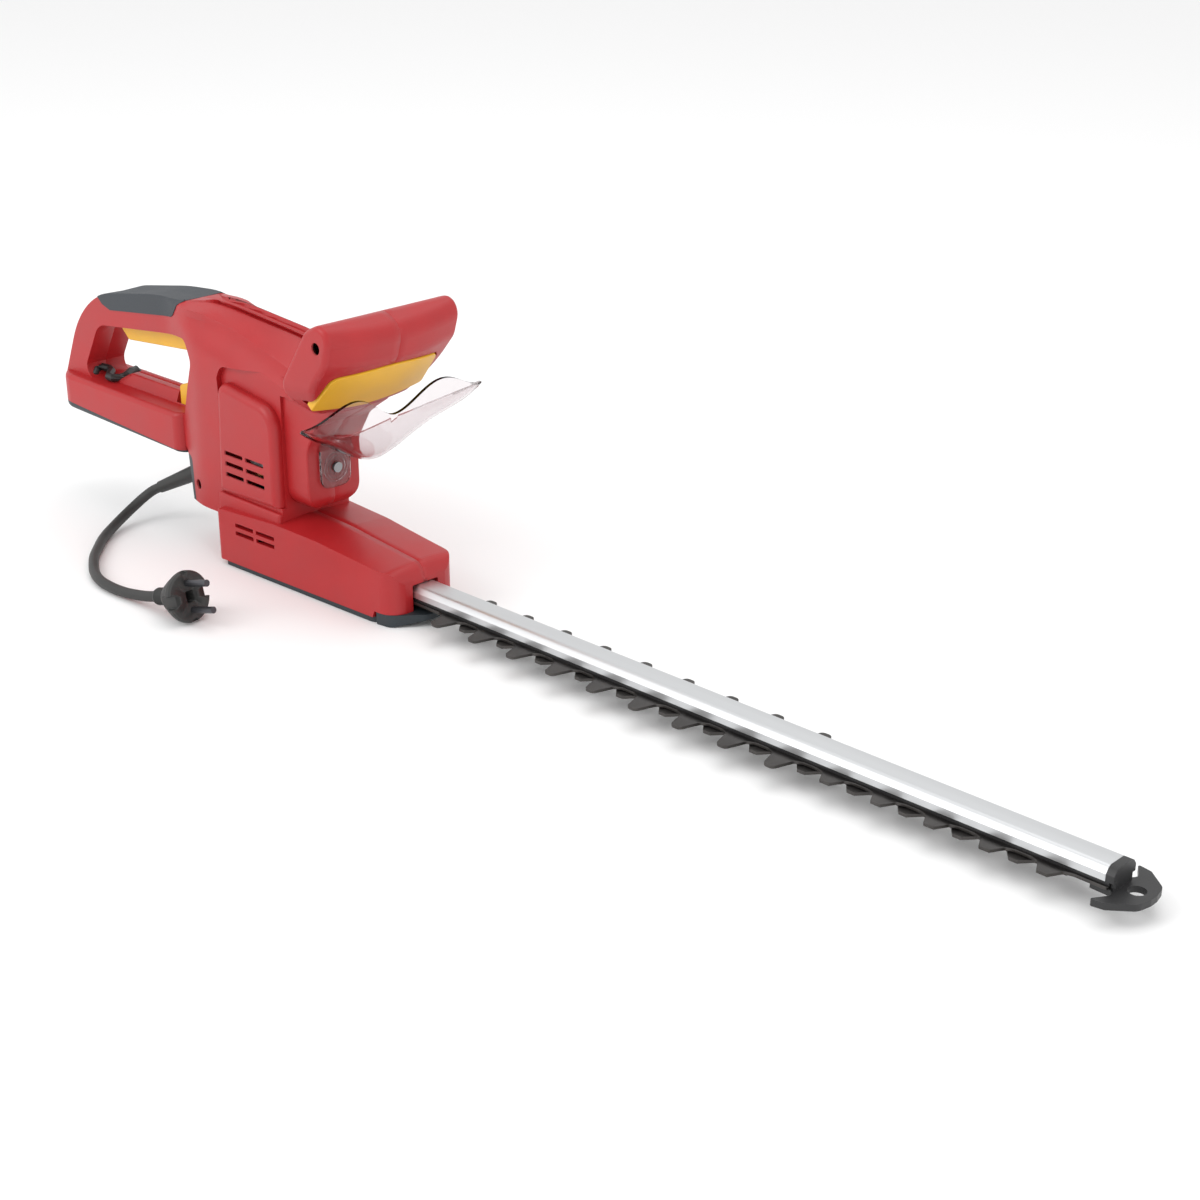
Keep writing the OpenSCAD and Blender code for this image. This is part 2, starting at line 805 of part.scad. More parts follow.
// Bracket that seats the upper bearing and the brush holders
module bearing_bracket() {
    color(black) {
        ring(bearing_r + 3, bearing_r + seat_gap, upper_bearing_z - 2, bearing_h + 2);
        difference() {
            translate([0, 0, upper_bearing_z - 5]) union() {
                cylinder(h = 3, r = bearing_r + 3);
                block([16, tower_w - 2 * wall - 4, 3], [0, 0, 0]);
            }
            translate([0, 0, upper_bearing_z - 6]) cylinder(h = 6, r = 5);
        }
    }
}

module brush_holders() {
    z = stator_z + stator_h + 11;
    color(copper) for (s = [-1, 1]) difference() {
        block([8, 13, 10], [0, s * 16, z]);
        block([5.2, 20, 7.2], [0, s * 16, z + 1.4]);
    }
}

module brushes() {
    z = stator_z + stator_h + 12.5;
    color(black) for (s = [-1, 1]) block([5, 12, 7], [0, s * 14.4, z]);
}

// ---- Gear train ----------------------------------------------------------

module gear_plate() {
    rear = -24;
    step = 30;
    front = gear_x + 14;
    rear_w = tower_w - 2 * (wall + run_gap);
    front_w = gear_module * gear_teeth + 2;
    color(steel) difference() {
        union() {
            translate([rear, -rear_w / 2, lower_bearing_z + 1])
                cube([step - rear, rear_w, plate_t]);
            translate([step - 1, -front_w / 2, lower_bearing_z + 1])
                cube([front - step + 1, front_w, plate_t]);
        }
        cylinder(h = 100, r = bearing_r + seat_gap);
        translate([gear_x, 0, 0]) cylinder(h = 100, r = gear_shaft_r + 3 + seat_gap);
        for (p = plate_screw_points) translate([p[0], p[1], 0])
            cylinder(h = 100, r = screw_r + seat_gap);
    }
}

plate_screw_points = [[-18, 21], [-18, -21], [36, 22], [36, -22]];

module gear_plate_screws() {
    color(steel) for (p = plate_screw_points) {
        translate([p[0], p[1], lower_bearing_z - 1]) cylinder(h = plate_t + 2.1, r = screw_r);
        translate([p[0], p[1], lower_bearing_z + plate_t + 1.1]) cylinder(h = 1.6, r = 3.2);
    }
}

module gear_bush() {
    color(copper) translate([gear_x, 0, 0]) ring(gear_shaft_r + 3,
        gear_shaft_r + shaft_gap, lower_bearing_z - 2, plate_t + 3);
}

module spur_gear() {
    color(steel) translate([gear_x, 0, gear_z])
        toothed(gear_teeth, gear_h, gear_shaft_r + seat_gap);
}

module gear_shaft() {
    color(steel) translate([gear_x, 0, gear_z]) cylinder(h = 17.5, r = gear_shaft_r);
}

module eccentric_pin() {
    color(steel) translate([gear_x, stroke / 2, pin_z])
        cylinder(h = gear_z - pin_z, r = pin_r);
}

// Plate with the cross slot that the eccentric pin drives
module drive_yoke() {
    slot_l = stroke + 2 * pin_r + 1;
    color(steel) difference() {
        union() {
            block([24, slot_l + 8, yoke_t], [gear_x, 0, yoke_z]);
            block([16, 16, yoke_t], [gear_x + 19, 0, yoke_z]);
        }
        block([2 * (pin_r + shaft_gap), slot_l, yoke_t + 2], [gear_x, 0, yoke_z - 1]);
        for (x = yoke_rivet_x) translate([x, 0, yoke_z - 1])
            cylinder(h = yoke_t + 2, r = 2 + seat_gap);
    }
}

yoke_rivet_x = [gear_x + 16, gear_x + 23];

module yoke_rivets() {
    color(steel) for (x = yoke_rivet_x) translate([x, 0, cutter_z + 0.2])
        cylinder(h = blade_t + yoke_t - 0.4, r = 2);
}

// ---- Blade ---------------------------------------------------------------

// Corners of comb tooth i on the left side of the blade, from root to root
function comb_tooth(i) = let (x = first_tooth + i * pitch, w = spine_w / 2)
    i < long_teeth
    ? [[x - 13, w, 3], [x - 8, w + 2.5, 3], [x - 3.6, long_reach, 3.3],
        [x + 3.6, long_reach, 3.3], [x + 8, w + 2.5, 3], [x + 13, w, 3]]
    : [[x - 13, w, 3], [x - 8, w + 1.5, 2], [x - 3.4, short_reach, 0.4],
        [x + 3.4, short_reach, 0.4], [x + 8, w + 1.5, 2], [x + 13, w, 3]];

// Whole outline from its left edge, which runs along +X
function both_edges(edge) = concat([for (i = [len(edge) - 1:-1:0]) edge[i]],
    [for (p = edge) [p[0], -p[1], p[2]]]);

comb_edge = [[rail_start, spine_w / 2, 1], each [for (i = [0:comb_teeth - 1])
    each comb_tooth(i)], [rail_end, spine_w / 2, 1]];

module comb() {
    color(steel) translate([0, 0, comb_z]) difference() {
        linear_extrude(blade_t) polygon(rounded(both_edges(comb_edge)));
        blade_holes(blade_screw_r + seat_gap);
    }
}

module blade_holes(r) {
    for (x = blade_screw_x) translate([x, 0, -1]) cylinder(h = 20, r = r);
}

// Corners of cutter tooth i on the left side of the blade
function cutter_tooth(i) = let (x = first_tooth + cutter_lead + i * pitch,
    w = cutter_spine_w / 2)
    [[x - 9, w, 2], [x - 2.7, cutter_reach, 0.3], [x + 2.7, cutter_reach, 0.3],
        [x + 9, w, 2]];

cutter_tail = gear_x + 9;
cutter_edge = [[cutter_tail, 8, 2], [first_tooth - 6, 8, 1],
    [first_tooth - 4, cutter_spine_w / 2, 1],
    each [for (i = [0:comb_teeth - 2]) each cutter_tooth(i)],
    [last_tooth + 8, cutter_spine_w / 2, 1]];

// Cutter with short ground teeth, and its tail under the yoke
module cutter() {
    color(steel) translate([0, 0, cutter_z]) difference() {
        linear_extrude(blade_t) polygon(rounded(both_edges(cutter_edge)));
        for (x = blade_screw_x) block([2 * slot_half, 2 * (blade_screw_r + run_gap), 9],
            [x, 0, -1]);
        for (x = yoke_rivet_x) translate([x, 0, -1]) cylinder(h = 10, r = 2 + seat_gap);
    }
}

module blade_spacer() {
    color(black) translate([0, 0, spacer_z]) difference() {
        translate([rail_start, -rail_w / 2 + 1, 0])
            cube([rail_end - rail_start, rail_w - 2, spacer_t]);
        blade_holes(blade_screw_r + seat_gap);
    }
}

rail_section = [[-rail_w / 2, 0], [rail_w / 2, 0], [rail_w / 2, 0.5 * rail_h],
    [rail_w / 2 - 2.2, 0.85 * rail_h], [rail_w / 2 - 4.5, rail_h],
    [4.5 - rail_w / 2, rail_h], [2.2 - rail_w / 2, 0.85 * rail_h],
    [-rail_w / 2, 0.5 * rail_h]];

module guide_rail() {
    color(steel) difference() {
        translate([0, 0, rail_z]) cross_slab(rail_section, rail_start,
            rail_end - rail_start - 2);
        for (x = blade_screw_x) translate([x, 0, rail_z - 1])
            cylinder(h = 7, r = blade_screw_r + seat_gap);
    }
}

// Black end cap with a flat anchor-shaped protector and a hanging hole
module tip_protector() {
    color(black) difference() {
        union() {
            translate([0, 0, rail_z]) cross_slab(rail_section, rail_end - 1.9, 5);
            translate([0, 0, comb_z - 4]) linear_extrude(4)
                polygon(rounded(both_edges(hook_edge)));
            translate([rail_end + 0.1, -8, comb_z - 1])
                cube([3, 16, rail_z - comb_z + 1.5]);
        }
        translate([rail_end + 11, 0, 0]) cylinder(h = 60, r = hole_r);
    }
}

hole_r = 5;
hook_edge = [[rail_end - 12, 8.5, 1], [rail_end + 1, 9, 3], [rail_end + 4, 13, 3],
    [rail_end - 3, 24, 0.8], [rail_end + 6, 22.5, 5], [rail_end + 19, 12, 8],
    [rail_end + 21, 3, 3]];

// Screws that hold the blade up to the rail
module blade_screws() {
    color(steel) for (x = blade_screw_x)
        translate([x, 0, cutter_z - run_gap - 2.9])
            cylinder(h = rail_z + 5 - cutter_z + run_gap + 2.9, r = blade_screw_r);
}

module blade_nuts() {
    color(steel) for (x = blade_screw_x) translate([x, 0, cutter_z - run_gap - 2.5])
        difference() {
            union() {
                cylinder(h = 1.7, r = 4.6, $fn = 6);
                translate([0, 0, 1.7]) cylinder(h = 0.8, r = 6);
            }
            translate([0, 0, -1]) cylinder(h = 5, r = blade_screw_r + seat_gap);
        }
}

// Block that clamps the rail's root inside the gearbox
module blade_clamp() {
    color(steel) difference() {
        translate([rail_start + 2, -rail_w / 2 - 5, comb_z + blade_t + 0.1])
            cube([44, rail_w + 10, rail_h + 6]);
        translate([rail_start - 1, -rail_w / 2 - 0.1, 0])
            cube([60, rail_w + 0.2, rail_top + 0.1]);
    }
}

// ---- Electrical ----------------------------------------------------------

module capacitor() {
    color(yellow) block([18, 8, 14], [-52, 0, 112]);
}

module cord_clamp() {
    color(black) block([8, 22, 10], [-68, 0, 62]);
}

// Tapered sleeve where the cord leaves the housing
module strain_relief() {
    axis = relief_end - cord_exit;
    color(black) translate(cord_exit)
        rotate([0, 0, atan2(axis[1], axis[0])])
        rotate([0, acos(axis[2] / norm(axis)), 0])
            rotate_extrude() polygon([[0, -6], [6.9, -6], [6.9, 6],
                    [cord_d / 2 + 0.8, norm(axis) - 0.1], [0, norm(axis) - 0.1]]);
}

// Sweep of a round tube along a route of points
function along(p, i) = unit(p[min(i + 1, len(p) - 1)] - p[max(i - 1, 0)]);
function ring_at(p, i, r, n) = let (t = along(p, i), s = unit(cross(t, [0.02, 1, 0.2])),
    u = cross(s, t)) [for (k = [0:n - 1])
        p[i] + r * (cos(360 * k / n) * s + sin(360 * k / n) * u)];

module tube(p, r, n) {
    rings = [for (i = [0:len(p) - 1]) each ring_at(p, i, r, n)];
    walls = [for (i = [0:len(p) - 2], k = [0:n - 1])
        [i * n + k, i * n + (k + 1) % n, (i + 1) * n + (k + 1) % n, (i + 1) * n + k]];
    last = (len(p) - 1) * n;
    polyhedron(points = rings, faces = concat([[for (k = [n - 1:-1:0]) k]],
        walls, [[for (k = [0:n - 1]) last + k]]));
}

module power_cord() {
    color(black) tube(cord_points, cord_d / 2, 10);
}

// Places its children on the plug's axis, which runs along +X
module on_plug() {
    translate(plug_pos) rotate([0, 0, plug_turn]) rotate([0, -plug_lift, 0])
        rotate([0, 90, 0]) children();
}

module plug_body() {
    color(black) on_plug() difference() {
        rotate_extrude() polygon([[0, 0.1], [6, 0.1], [6.5, 6], [5.5, 9], [7, 12],
            [15, 24], [15, 28], [plug_flange_r, 29], [plug_flange_r, plug_body_l],
            [0, plug_body_l]]);
        for (s = [-1, 1]) translate([s * pin_spacing / 2, 0, 20])
            cylinder(h = 40, r = 2.4 + seat_gap);
    }
}

module plug_pins() {
    color(steel) on_plug() for (s = [-1, 1]) translate([s * pin_spacing / 2, 0, 24])
        cylinder(h = plug_body_l - 24 + 19, r = 2.4);
}

housing_right();
housing_left();
side_cover_right();
side_cover_left();
base_plate();
rear_trim();
grip_pad();
front_handle_right();
front_handle_left();
hand_guard();
guard_screw();
handle_screws();
cord_hook();
trigger();
trigger_pivot();
trigger_spring();
lock_slider();
switch_bar();
bar_springs();
stator();
field_coils();
armature_core();
armature_shaft();
commutator();
fan();
pinion();
upper_bearing();
lower_bearing();
bearing_bracket();
brush_holders();
brushes();
gear_plate();
gear_plate_screws();
spur_gear();
gear_shaft();
gear_bush();
eccentric_pin();
drive_yoke();
yoke_rivets();
cutter();
comb();
blade_spacer();
guide_rail();
tip_protector();
blade_screws();
blade_nuts();
blade_clamp();
rear_switch();
front_switch();
capacitor();
cord_clamp();
strain_relief();
power_cord();
plug_body();
plug_pins();
housing_screws();
base_screws();
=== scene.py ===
"""Looks of a corded hedge trimmer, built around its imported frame.

Metres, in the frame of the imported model: +X along the blade, +Y to the user's left, +Z up.
"""

import json
import logging
import math
from dataclasses import dataclass, field
from enum import Enum
from typing import Callable, Iterable, Optional, Sequence

import bmesh
import bpy
from mathutils import Matrix, Vector


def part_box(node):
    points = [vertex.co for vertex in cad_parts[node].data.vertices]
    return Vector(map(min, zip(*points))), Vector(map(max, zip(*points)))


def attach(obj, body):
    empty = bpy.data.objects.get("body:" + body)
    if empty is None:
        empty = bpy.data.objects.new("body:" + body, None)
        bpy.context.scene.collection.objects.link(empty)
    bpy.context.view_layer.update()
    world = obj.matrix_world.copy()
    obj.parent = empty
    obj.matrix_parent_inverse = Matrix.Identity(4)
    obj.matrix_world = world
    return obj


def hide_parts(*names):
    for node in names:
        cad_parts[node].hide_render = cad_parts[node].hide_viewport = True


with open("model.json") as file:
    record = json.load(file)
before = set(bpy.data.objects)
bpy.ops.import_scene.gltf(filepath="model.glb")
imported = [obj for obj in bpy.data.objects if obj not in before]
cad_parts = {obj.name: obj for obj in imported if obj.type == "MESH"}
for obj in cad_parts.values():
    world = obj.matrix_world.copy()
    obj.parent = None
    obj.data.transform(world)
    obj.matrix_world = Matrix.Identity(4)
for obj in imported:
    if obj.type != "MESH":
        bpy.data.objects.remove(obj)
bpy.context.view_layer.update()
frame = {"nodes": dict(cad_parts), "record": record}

LOG = logging.getLogger("hedge_trimmer")
MM = 0.001
Outline = Sequence[Sequence[float]]
Colour = tuple[float, float, float]


# ---- Finishes --------------------------------------------------------------


class Pattern(Enum):
    """Surface patterns that a finish can have."""

    GRAIN = "fine moulded grain"
    STIPPLE = "soft stippled rubber"
    BRUSHED = "streaks along the blade"
    GROUND = "grinding marks across the blade"
    WOUND = "wire windings"
    CLEAR = "clear plastic"


@dataclass(frozen=True)
class Finish:
    """One surface finish, made from procedural nodes.

    Attributes:
        name: Material name.
        colour: Linear base colour.
        roughness: Middle of the roughness range.
        metallic: 1 for bare metal.
        pattern: What the surface's relief looks like.
        scale: Features of the pattern per metre.
        bump: Strength of the relief.
        mottle: Share by which the colour varies.
        coat: Weight of a clear coat.
        gloss: Strength of the plain reflection.
    """

    name: str
    colour: Colour
    roughness: float
    metallic: float = 0.0
    pattern: Pattern = Pattern.GRAIN
    scale: float = 1400.0
    bump: float = 0.12
    mottle: float = 0.08
    coat: float = 0.0
    gloss: float = 0.5

    def material(self) -> bpy.types.Material:
        """Makes the material, or finds it if it has been made.

        Returns:
            The Blender material.
        """
        name = f"{self.name}_finish"
        found = bpy.data.materials.get(name)
        if found:
            return found
        material = bpy.data.materials.new(name)
        material.use_nodes = True
        tree = material.node_tree
        shader = tree.nodes["Principled BSDF"]
        shader.inputs["Metallic"].default_value = self.metallic
        shader.inputs["Coat Weight"].default_value = self.coat
        shader.inputs["Specular IOR Level"].default_value = self.gloss
        if self.pattern is Pattern.CLEAR:
            self._make_clear(tree, shader)
            return material
        place = tree.nodes.new("ShaderNodeTexCoord").outputs["Object"]
        self._colour(tree, shader, place)
        self._relief(tree, shader, place)
        return material

    def _make_clear(self, tree: bpy.types.NodeTree, shader: bpy.types.Node) -> None:
        """Sets the shader to clear moulded plastic with faint flow marks.

        Args:
            tree: Node tree of the material.
            shader: Its Principled shader.
        """
        shader.inputs["Base Color"].default_value = (*self.colour, 1.0)
        shader.inputs["Transmission Weight"].default_value = 1.0
        shader.inputs["IOR"].default_value = 1.40
        place = tree.nodes.new("ShaderNodeTexCoord").outputs["Object"]
        flow = self._noise(tree, place, (18.0, 9.0, 30.0), 1.0)
        spread = self._map(tree, flow, self.roughness * 0.5, self.roughness * 1.6)
        tree.links.new(spread, shader.inputs["Roughness"])
        bump = tree.nodes.new("ShaderNodeBump")
        bump.inputs["Strength"].default_value = self.bump
        bump.inputs["Distance"].default_value = 0.0006
        tree.links.new(flow, bump.inputs["Height"])
        tree.links.new(bump.outputs["Normal"], shader.inputs["Normal"])

    def _noise(self, tree: bpy.types.NodeTree, place: bpy.types.NodeSocket,
               stretch: tuple[float, float, float], detail: float) -> bpy.types.NodeSocket:
        """Adds a noise texture.

        Args:
            tree: Node tree of the material.
            place: Socket with the position.
            stretch: Features per metre along each axis.
            detail: Octaves of the noise.

        Returns:
            The socket with the noise, from 0 to 1.
        """
        mapping = tree.nodes.new("ShaderNodeMapping")
        mapping.inputs["Scale"].default_value = stretch
        noise = tree.nodes.new("ShaderNodeTexNoise")
        noise.inputs["Scale"].default_value = 1.0
        noise.inputs["Detail"].default_value = detail
        tree.links.new(place, mapping.inputs["Vector"])
        tree.links.new(mapping.outputs["Vector"], noise.inputs["Vector"])
        return noise.outputs["Fac"]

    def _map(self, tree: bpy.types.NodeTree, value: bpy.types.NodeSocket,
             low: float, high: float) -> bpy.types.NodeSocket:
        """Maps noise to a range.

        Args:
            tree: Node tree of the material.
            value: Socket with values near 0.5.
            low: What 0.3 becomes.
            high: What 0.7 becomes.

        Returns:
            The socket with the mapped value.
        """
        ranger = tree.nodes.new("ShaderNodeMapRange")
        ranger.inputs["From Min"].default_value = 0.3
        ranger.inputs["From Max"].default_value = 0.7
        ranger.inputs["To Min"].default_value = low
        ranger.inputs["To Max"].default_value = high
        tree.links.new(value, ranger.inputs["Value"])
        return ranger.outputs["Result"]

    def _colour(self, tree: bpy.types.NodeTree, shader: bpy.types.Node,
                place: bpy.types.NodeSocket) -> None:
        """Adds slow colour variation and a roughness that follows it.

        Args:
            tree: Node tree of the material.
            shader: Its Principled shader.
            place: Socket with the position.
        """
        slow = self._noise(tree, place, self._stretch(self.scale / 40), 3.0)
        ramp = tree.nodes.new("ShaderNodeValToRGB")
        for stop, place_, share in zip(ramp.color_ramp.elements, (0.3, 0.7),
                                       (1 - self.mottle, 1 + self.mottle)):
            stop.position = place_
            stop.color = (*(min(1.0, c * share) for c in self.colour), 1.0)
        tree.links.new(slow, ramp.inputs["Fac"])
        tree.links.new(ramp.outputs["Color"], shader.inputs["Base Color"])
        rough = self._map(tree, slow, self.roughness * 0.9, self.roughness * 1.12)
        tree.links.new(rough, shader.inputs["Roughness"])

    def _stretch(self, scale: float) -> tuple[float, float, float]:
        """Returns the pattern's features per metre along each axis."""
        if self.pattern is Pattern.BRUSHED:
            return (scale * 0.02, scale, scale)
        if self.pattern is Pattern.GROUND:
            return (scale, scale * 0.05, scale)
        if self.pattern is Pattern.WOUND:
            return (scale * 0.1, scale * 0.1, scale)
        return (scale, scale, scale)

    def _relief(self, tree: bpy.types.NodeTree, shader: bpy.types.Node,
                place: bpy.types.NodeSocket) -> None:
        """Adds the fine relief of the pattern.

        Args:
            tree: Node tree of the material.
            shader: Its Principled shader.
            place: Socket with the position.
        """
        fine = self._noise(tree, place, self._stretch(self.scale), 2.0)
        bump = tree.nodes.new("ShaderNodeBump")
        bump.inputs["Strength"].default_value = self.bump
        bump.inputs["Distance"].default_value = 0.0004
        tree.links.new(fine, bump.inputs["Height"])
        tree.links.new(bump.outputs["Normal"], shader.inputs["Normal"])


FINISHES: dict[str, Finish] = {
    "red_shell": Finish("red_plastic", (0.41, 0.013, 0.016), 0.40, scale=1500, bump=0.10, mottle=0.05),
    "dark_plastic": Finish("dark_plastic", (0.030, 0.039, 0.045), 0.48, bump=0.14, gloss=0.35),
    "soft_grip": Finish("soft_grip", (0.058, 0.064, 0.072), 0.62, pattern=Pattern.STIPPLE,
                        scale=1100, bump=0.35, gloss=0.3),
    "clear_plastic": Finish("clear_plastic", (0.86, 0.82, 0.83), 0.03, pattern=Pattern.CLEAR,
                            bump=0.03),
    # Darker copy of the clear finish, put on the guard's rim as painted shade for the darkening that
    # refraction gives there.
    "clear_rim_painted_shade": Finish("clear_rim_painted_shade", (0.42, 0.40, 0.40), 0.05, pattern=Pattern.CLEAR, bump=0.03),
    "yellow_plastic": Finish("yellow_plastic", (0.80, 0.43, 0.020), 0.38, bump=0.08, mottle=0.05),
    "black_plastic": Finish("black_plastic", (0.020, 0.020, 0.021), 0.42, bump=0.12),
    "blade_steel": Finish("blade_steel", (0.085, 0.080, 0.077), 0.42, metallic=1.0,
                          pattern=Pattern.GROUND, scale=3000, bump=0.10, mottle=0.22),
    "rail_aluminium": Finish("rail_aluminium", (0.66, 0.67, 0.68), 0.40, metallic=1.0,
                             pattern=Pattern.BRUSHED, scale=2600, bump=0.06, mottle=0.05),
    "cast_aluminium": Finish("cast_aluminium", (0.55, 0.56, 0.57), 0.46, metallic=1.0, bump=0.3,
                             scale=900),
    "machined_steel": Finish("machined_steel", (0.52, 0.52, 0.53), 0.28, metallic=1.0,
                             pattern=Pattern.GROUND, scale=2200, bump=0.05),
    "core_steel": Finish("core_steel", (0.30, 0.30, 0.31), 0.42, metallic=1.0,
                         pattern=Pattern.WOUND, scale=1800, bump=0.35),
    "copper": Finish("enamelled_copper", (0.62, 0.26, 0.11), 0.32, metallic=1.0,
                     pattern=Pattern.WOUND, scale=1500, bump=0.5),
    "brass": Finish("plated_brass", (0.68, 0.58, 0.36), 0.25, metallic=1.0, bump=0.04),
    "carbon": Finish("pressed_carbon", (0.02, 0.02, 0.022), 0.55, bump=0.25),
    "cord_rubber": Finish("cord_rubber", (0.030, 0.030, 0.029), 0.50, pattern=Pattern.STIPPLE,
                          scale=1200, bump=0.15),
    "pin_metal": Finish("pin_metal", (0.10, 0.10, 0.11), 0.35, metallic=0.8, bump=0.05),
    "zinc_steel": Finish("zinc_steel", (0.30, 0.30, 0.31), 0.40, metallic=1.0, bump=0.06),
}


# ---- Mesh helpers ----------------------------------------------------------


def rounded(outline: Outline, parts: int = 0) -> list[Vector]:
    """Rounds each corner of a flat outline by its own radius.

    Args:
        outline: Corners as (u, v, radius) in millimetres.
        parts: Parts each rounding is drawn in, or 0 to go by the radius.

    Returns:
        The outline's points in metres.
    """
    points: list[Vector] = []
    count = len(outline)
    for i, (u, v, radius) in enumerate(outline):
        here = Vector((u, v))
        before = (Vector(outline[i - 1][:2]) - here).normalized()
        after = (Vector(outline[(i + 1) % count][:2]) - here).normalized()
        if radius <= 0:
            points.append(here * MM)
            continue
        half = before.angle(after) / 2
        centre = here + (before + after).normalized() * radius / math.sin(half)
        start = here + before * radius / math.tan(half) - centre
        stop = here + after * radius / math.tan(half) - centre
        steps = parts or (3 if radius < 2 else 6 if radius < 12 else 10)
        turn = math.atan2(start.x * stop.y - start.y * stop.x, start.dot(stop))
        for k in range(steps + 1):
            angle = turn * k / steps
            spoke = Vector((start.x * math.cos(angle) - start.y * math.sin(angle),
                            start.x * math.sin(angle) + start.y * math.cos(angle)))
            points.append((centre + spoke) * MM)
    return points


def make_object(mesh: bmesh.types.BMesh, name: str, sharp: float = 40.0) -> bpy.types.Object:
    """Turns a bmesh into an object with smooth shading up to an angle.

    Args:
        mesh: The bmesh, which is freed.
        name: Name of the object and its mesh.
        sharp: Degrees between faces from which an edge stays sharp.

    Returns:
        The new object, at the origin.
    """
    data = bpy.data.meshes.new(name)
    mesh.to_mesh(data)
    mesh.free()
    data.polygons.foreach_set("use_smooth", [True] * len(data.polygons))
    data.set_sharp_from_angle(angle=math.radians(sharp))
    made = bpy.data.objects.new(name, data)
    bpy.context.scene.collection.objects.link(made)
    return made


def copy_of(node: str) -> bmesh.types.BMesh:
    """Copies a CAD node's mesh, with its loose triangles joined into flat faces.

    Args:
        node: Name of the CAD node.

    Returns:
        The copy.
    """
    mesh = bmesh.new()
    mesh.from_mesh(frame["nodes"][node].data)
    for layer in list(mesh.loops.layers.uv):
        mesh.loops.layers.uv.remove(layer)
    bmesh.ops.remove_doubles(mesh, verts=mesh.verts, dist=2e-6)
    bmesh.ops.dissolve_limit(mesh, angle_limit=math.radians(0.6), verts=mesh.verts,
                             edges=mesh.edges, delimit={"NORMAL"})
    return mesh


def round_edges(mesh: bmesh.types.BMesh, width: float, segments: int = 3, angle: float = 32.0,
                where: Optional[Callable[[Vector], bool]] = None) -> None:
    """Rounds the sharp edges of a mesh.

    Args:
        mesh: The mesh to change.
        width: Width of the rounding in millimetres.
        segments: Faces across each rounding.
        angle: Degrees between faces from which an edge counts as sharp.
        where: Takes an edge's middle in millimetres, and says whether it is rounded.
    """
    edges = [e for e in mesh.edges if len(e.link_faces) == 2
             and e.calc_face_angle(0.0) > math.radians(angle)
             and (where is None or where((e.verts[0].co + e.verts[1].co) / (2 * MM)))]
    bmesh.ops.bevel(mesh, geom=edges, offset=width * MM, offset_type="OFFSET", segments=segments,
                    profile=0.5, affect="EDGES", clamp_overlap=True, material=-1)


def flat_faces(mesh: bmesh.types.BMesh, outer: Sequence[Vector], inner: Sequence[Vector] = (),
               split: float = 0.0) -> None:
    """Fills an outline that may have a hole, as one or two flat faces in the XZ plane.

    Args:
        mesh: The mesh to add to.
        outer: Outline, anticlockwise in X and Z, in metres.
        inner: Outline of the hole, anticlockwise.
        split: X at which the region round the hole is parted in two.
    """
    def with_cuts(points: Sequence[Vector]) -> list[Vector]:
        """Adds the points where an outline crosses the split."""
        cut: list[Vector] = []
        for a, b in zip(points, [*points[1:], points[0]]):
            cut.append(a)
            if (a.x - split) * (b.x - split) < 0:
                cut.append(a.lerp(b, (split - a.x) / (b.x - a.x)))
        return cut

    def run(points: list[Vector], side: int) -> list[Vector]:
        """Returns the stretch of an outline on one side of the split."""
        kept = [side * (p.x - split) >= -1e-9 for p in points]
        first = next(i for i in range(len(points)) if kept[i] and not kept[i - 1])
        turned = points[first:] + points[:first]
        return turned[:sum(kept)]

    if not inner:
        mesh.faces.new([mesh.verts.new((p.x, 0, p.y)) for p in outer])
        return
    ring, hole = with_cuts(outer), with_cuts(inner)
    for side in (-1, 1):
        corners = run(ring, side) + run(hole, side)[::-1]
        mesh.faces.new([mesh.verts.new((p.x, 0, p.y)) for p in corners])
    bmesh.ops.remove_doubles(mesh, verts=mesh.verts, dist=1e-7)


def slab(outline: Outline, near: float, far: float, hole: Outline = (),
         split: float = 0.0) -> bmesh.types.BMesh:
    """Makes an upright slab from an outline in X and Z.

    Args:
        outline: Corners as (x, z, radius) in millimetres, anticlockwise.
        near: Y of one side in millimetres.
        far: Y of the other side.
        hole: Corners of a hole.
        split: X at which the faces round the hole are parted.

    Returns:
        The closed slab.
    """
    mesh = bmesh.new()
    flat_faces(mesh, rounded(outline), rounded(hole) if hole else (), split * MM)
    bmesh.ops.translate(mesh, verts=mesh.verts, vec=(0, near * MM, 0))
    grown = bmesh.ops.extrude_face_region(mesh, geom=mesh.faces[:])["geom"]
    bmesh.ops.translate(mesh, verts=[v for v in grown if isinstance(v, bmesh.types.BMVert)],
                        vec=(0, (far - near) * MM, 0))
    bmesh.ops.recalc_face_normals(mesh, faces=mesh.faces)
    return mesh


def block(low: Sequence[float], high: Sequence[float], round_by: float = 0.0) -> bmesh.types.BMesh:
    """Makes a box between two corners in millimetres.

    Args:
        low: Lowest corner.
        high: Highest corner.
        round_by: Rounding of its edges in millimetres.

    Returns:
        The box.
    """
    mesh = bmesh.new()
    size, middle = Vector(high) - Vector(low), (Vector(high) + Vector(low)) / 2
    place = Matrix.Translation(middle * MM) @ Matrix.Diagonal((*(size * MM), 1))
    bmesh.ops.create_cube(mesh, size=1.0, matrix=place)
    if round_by:
        round_edges(mesh, round_by, 4)
    return mesh


def blocks(pairs: Iterable[tuple[Sequence[float], Sequence[float]]],
           round_by: float) -> bmesh.types.BMesh:
    """Makes several boxes in one mesh.

    Args:
        pairs: Two opposite corners of each box in millimetres.
        round_by: Rounding of their edges in millimetres.

    Returns:
        The boxes.
    """
    mesh = bmesh.new()
    for one, other in pairs:
        size = Vector(abs(b - a) for a, b in zip(one, other))
        middle = (Vector(one) + Vector(other)) / 2
        bmesh.ops.create_cube(mesh, size=1.0, matrix=Matrix.Translation(middle * MM)
                              @ Matrix.Diagonal((*(size * MM), 1)))
    round_edges(mesh, round_by, 3)
    return mesh


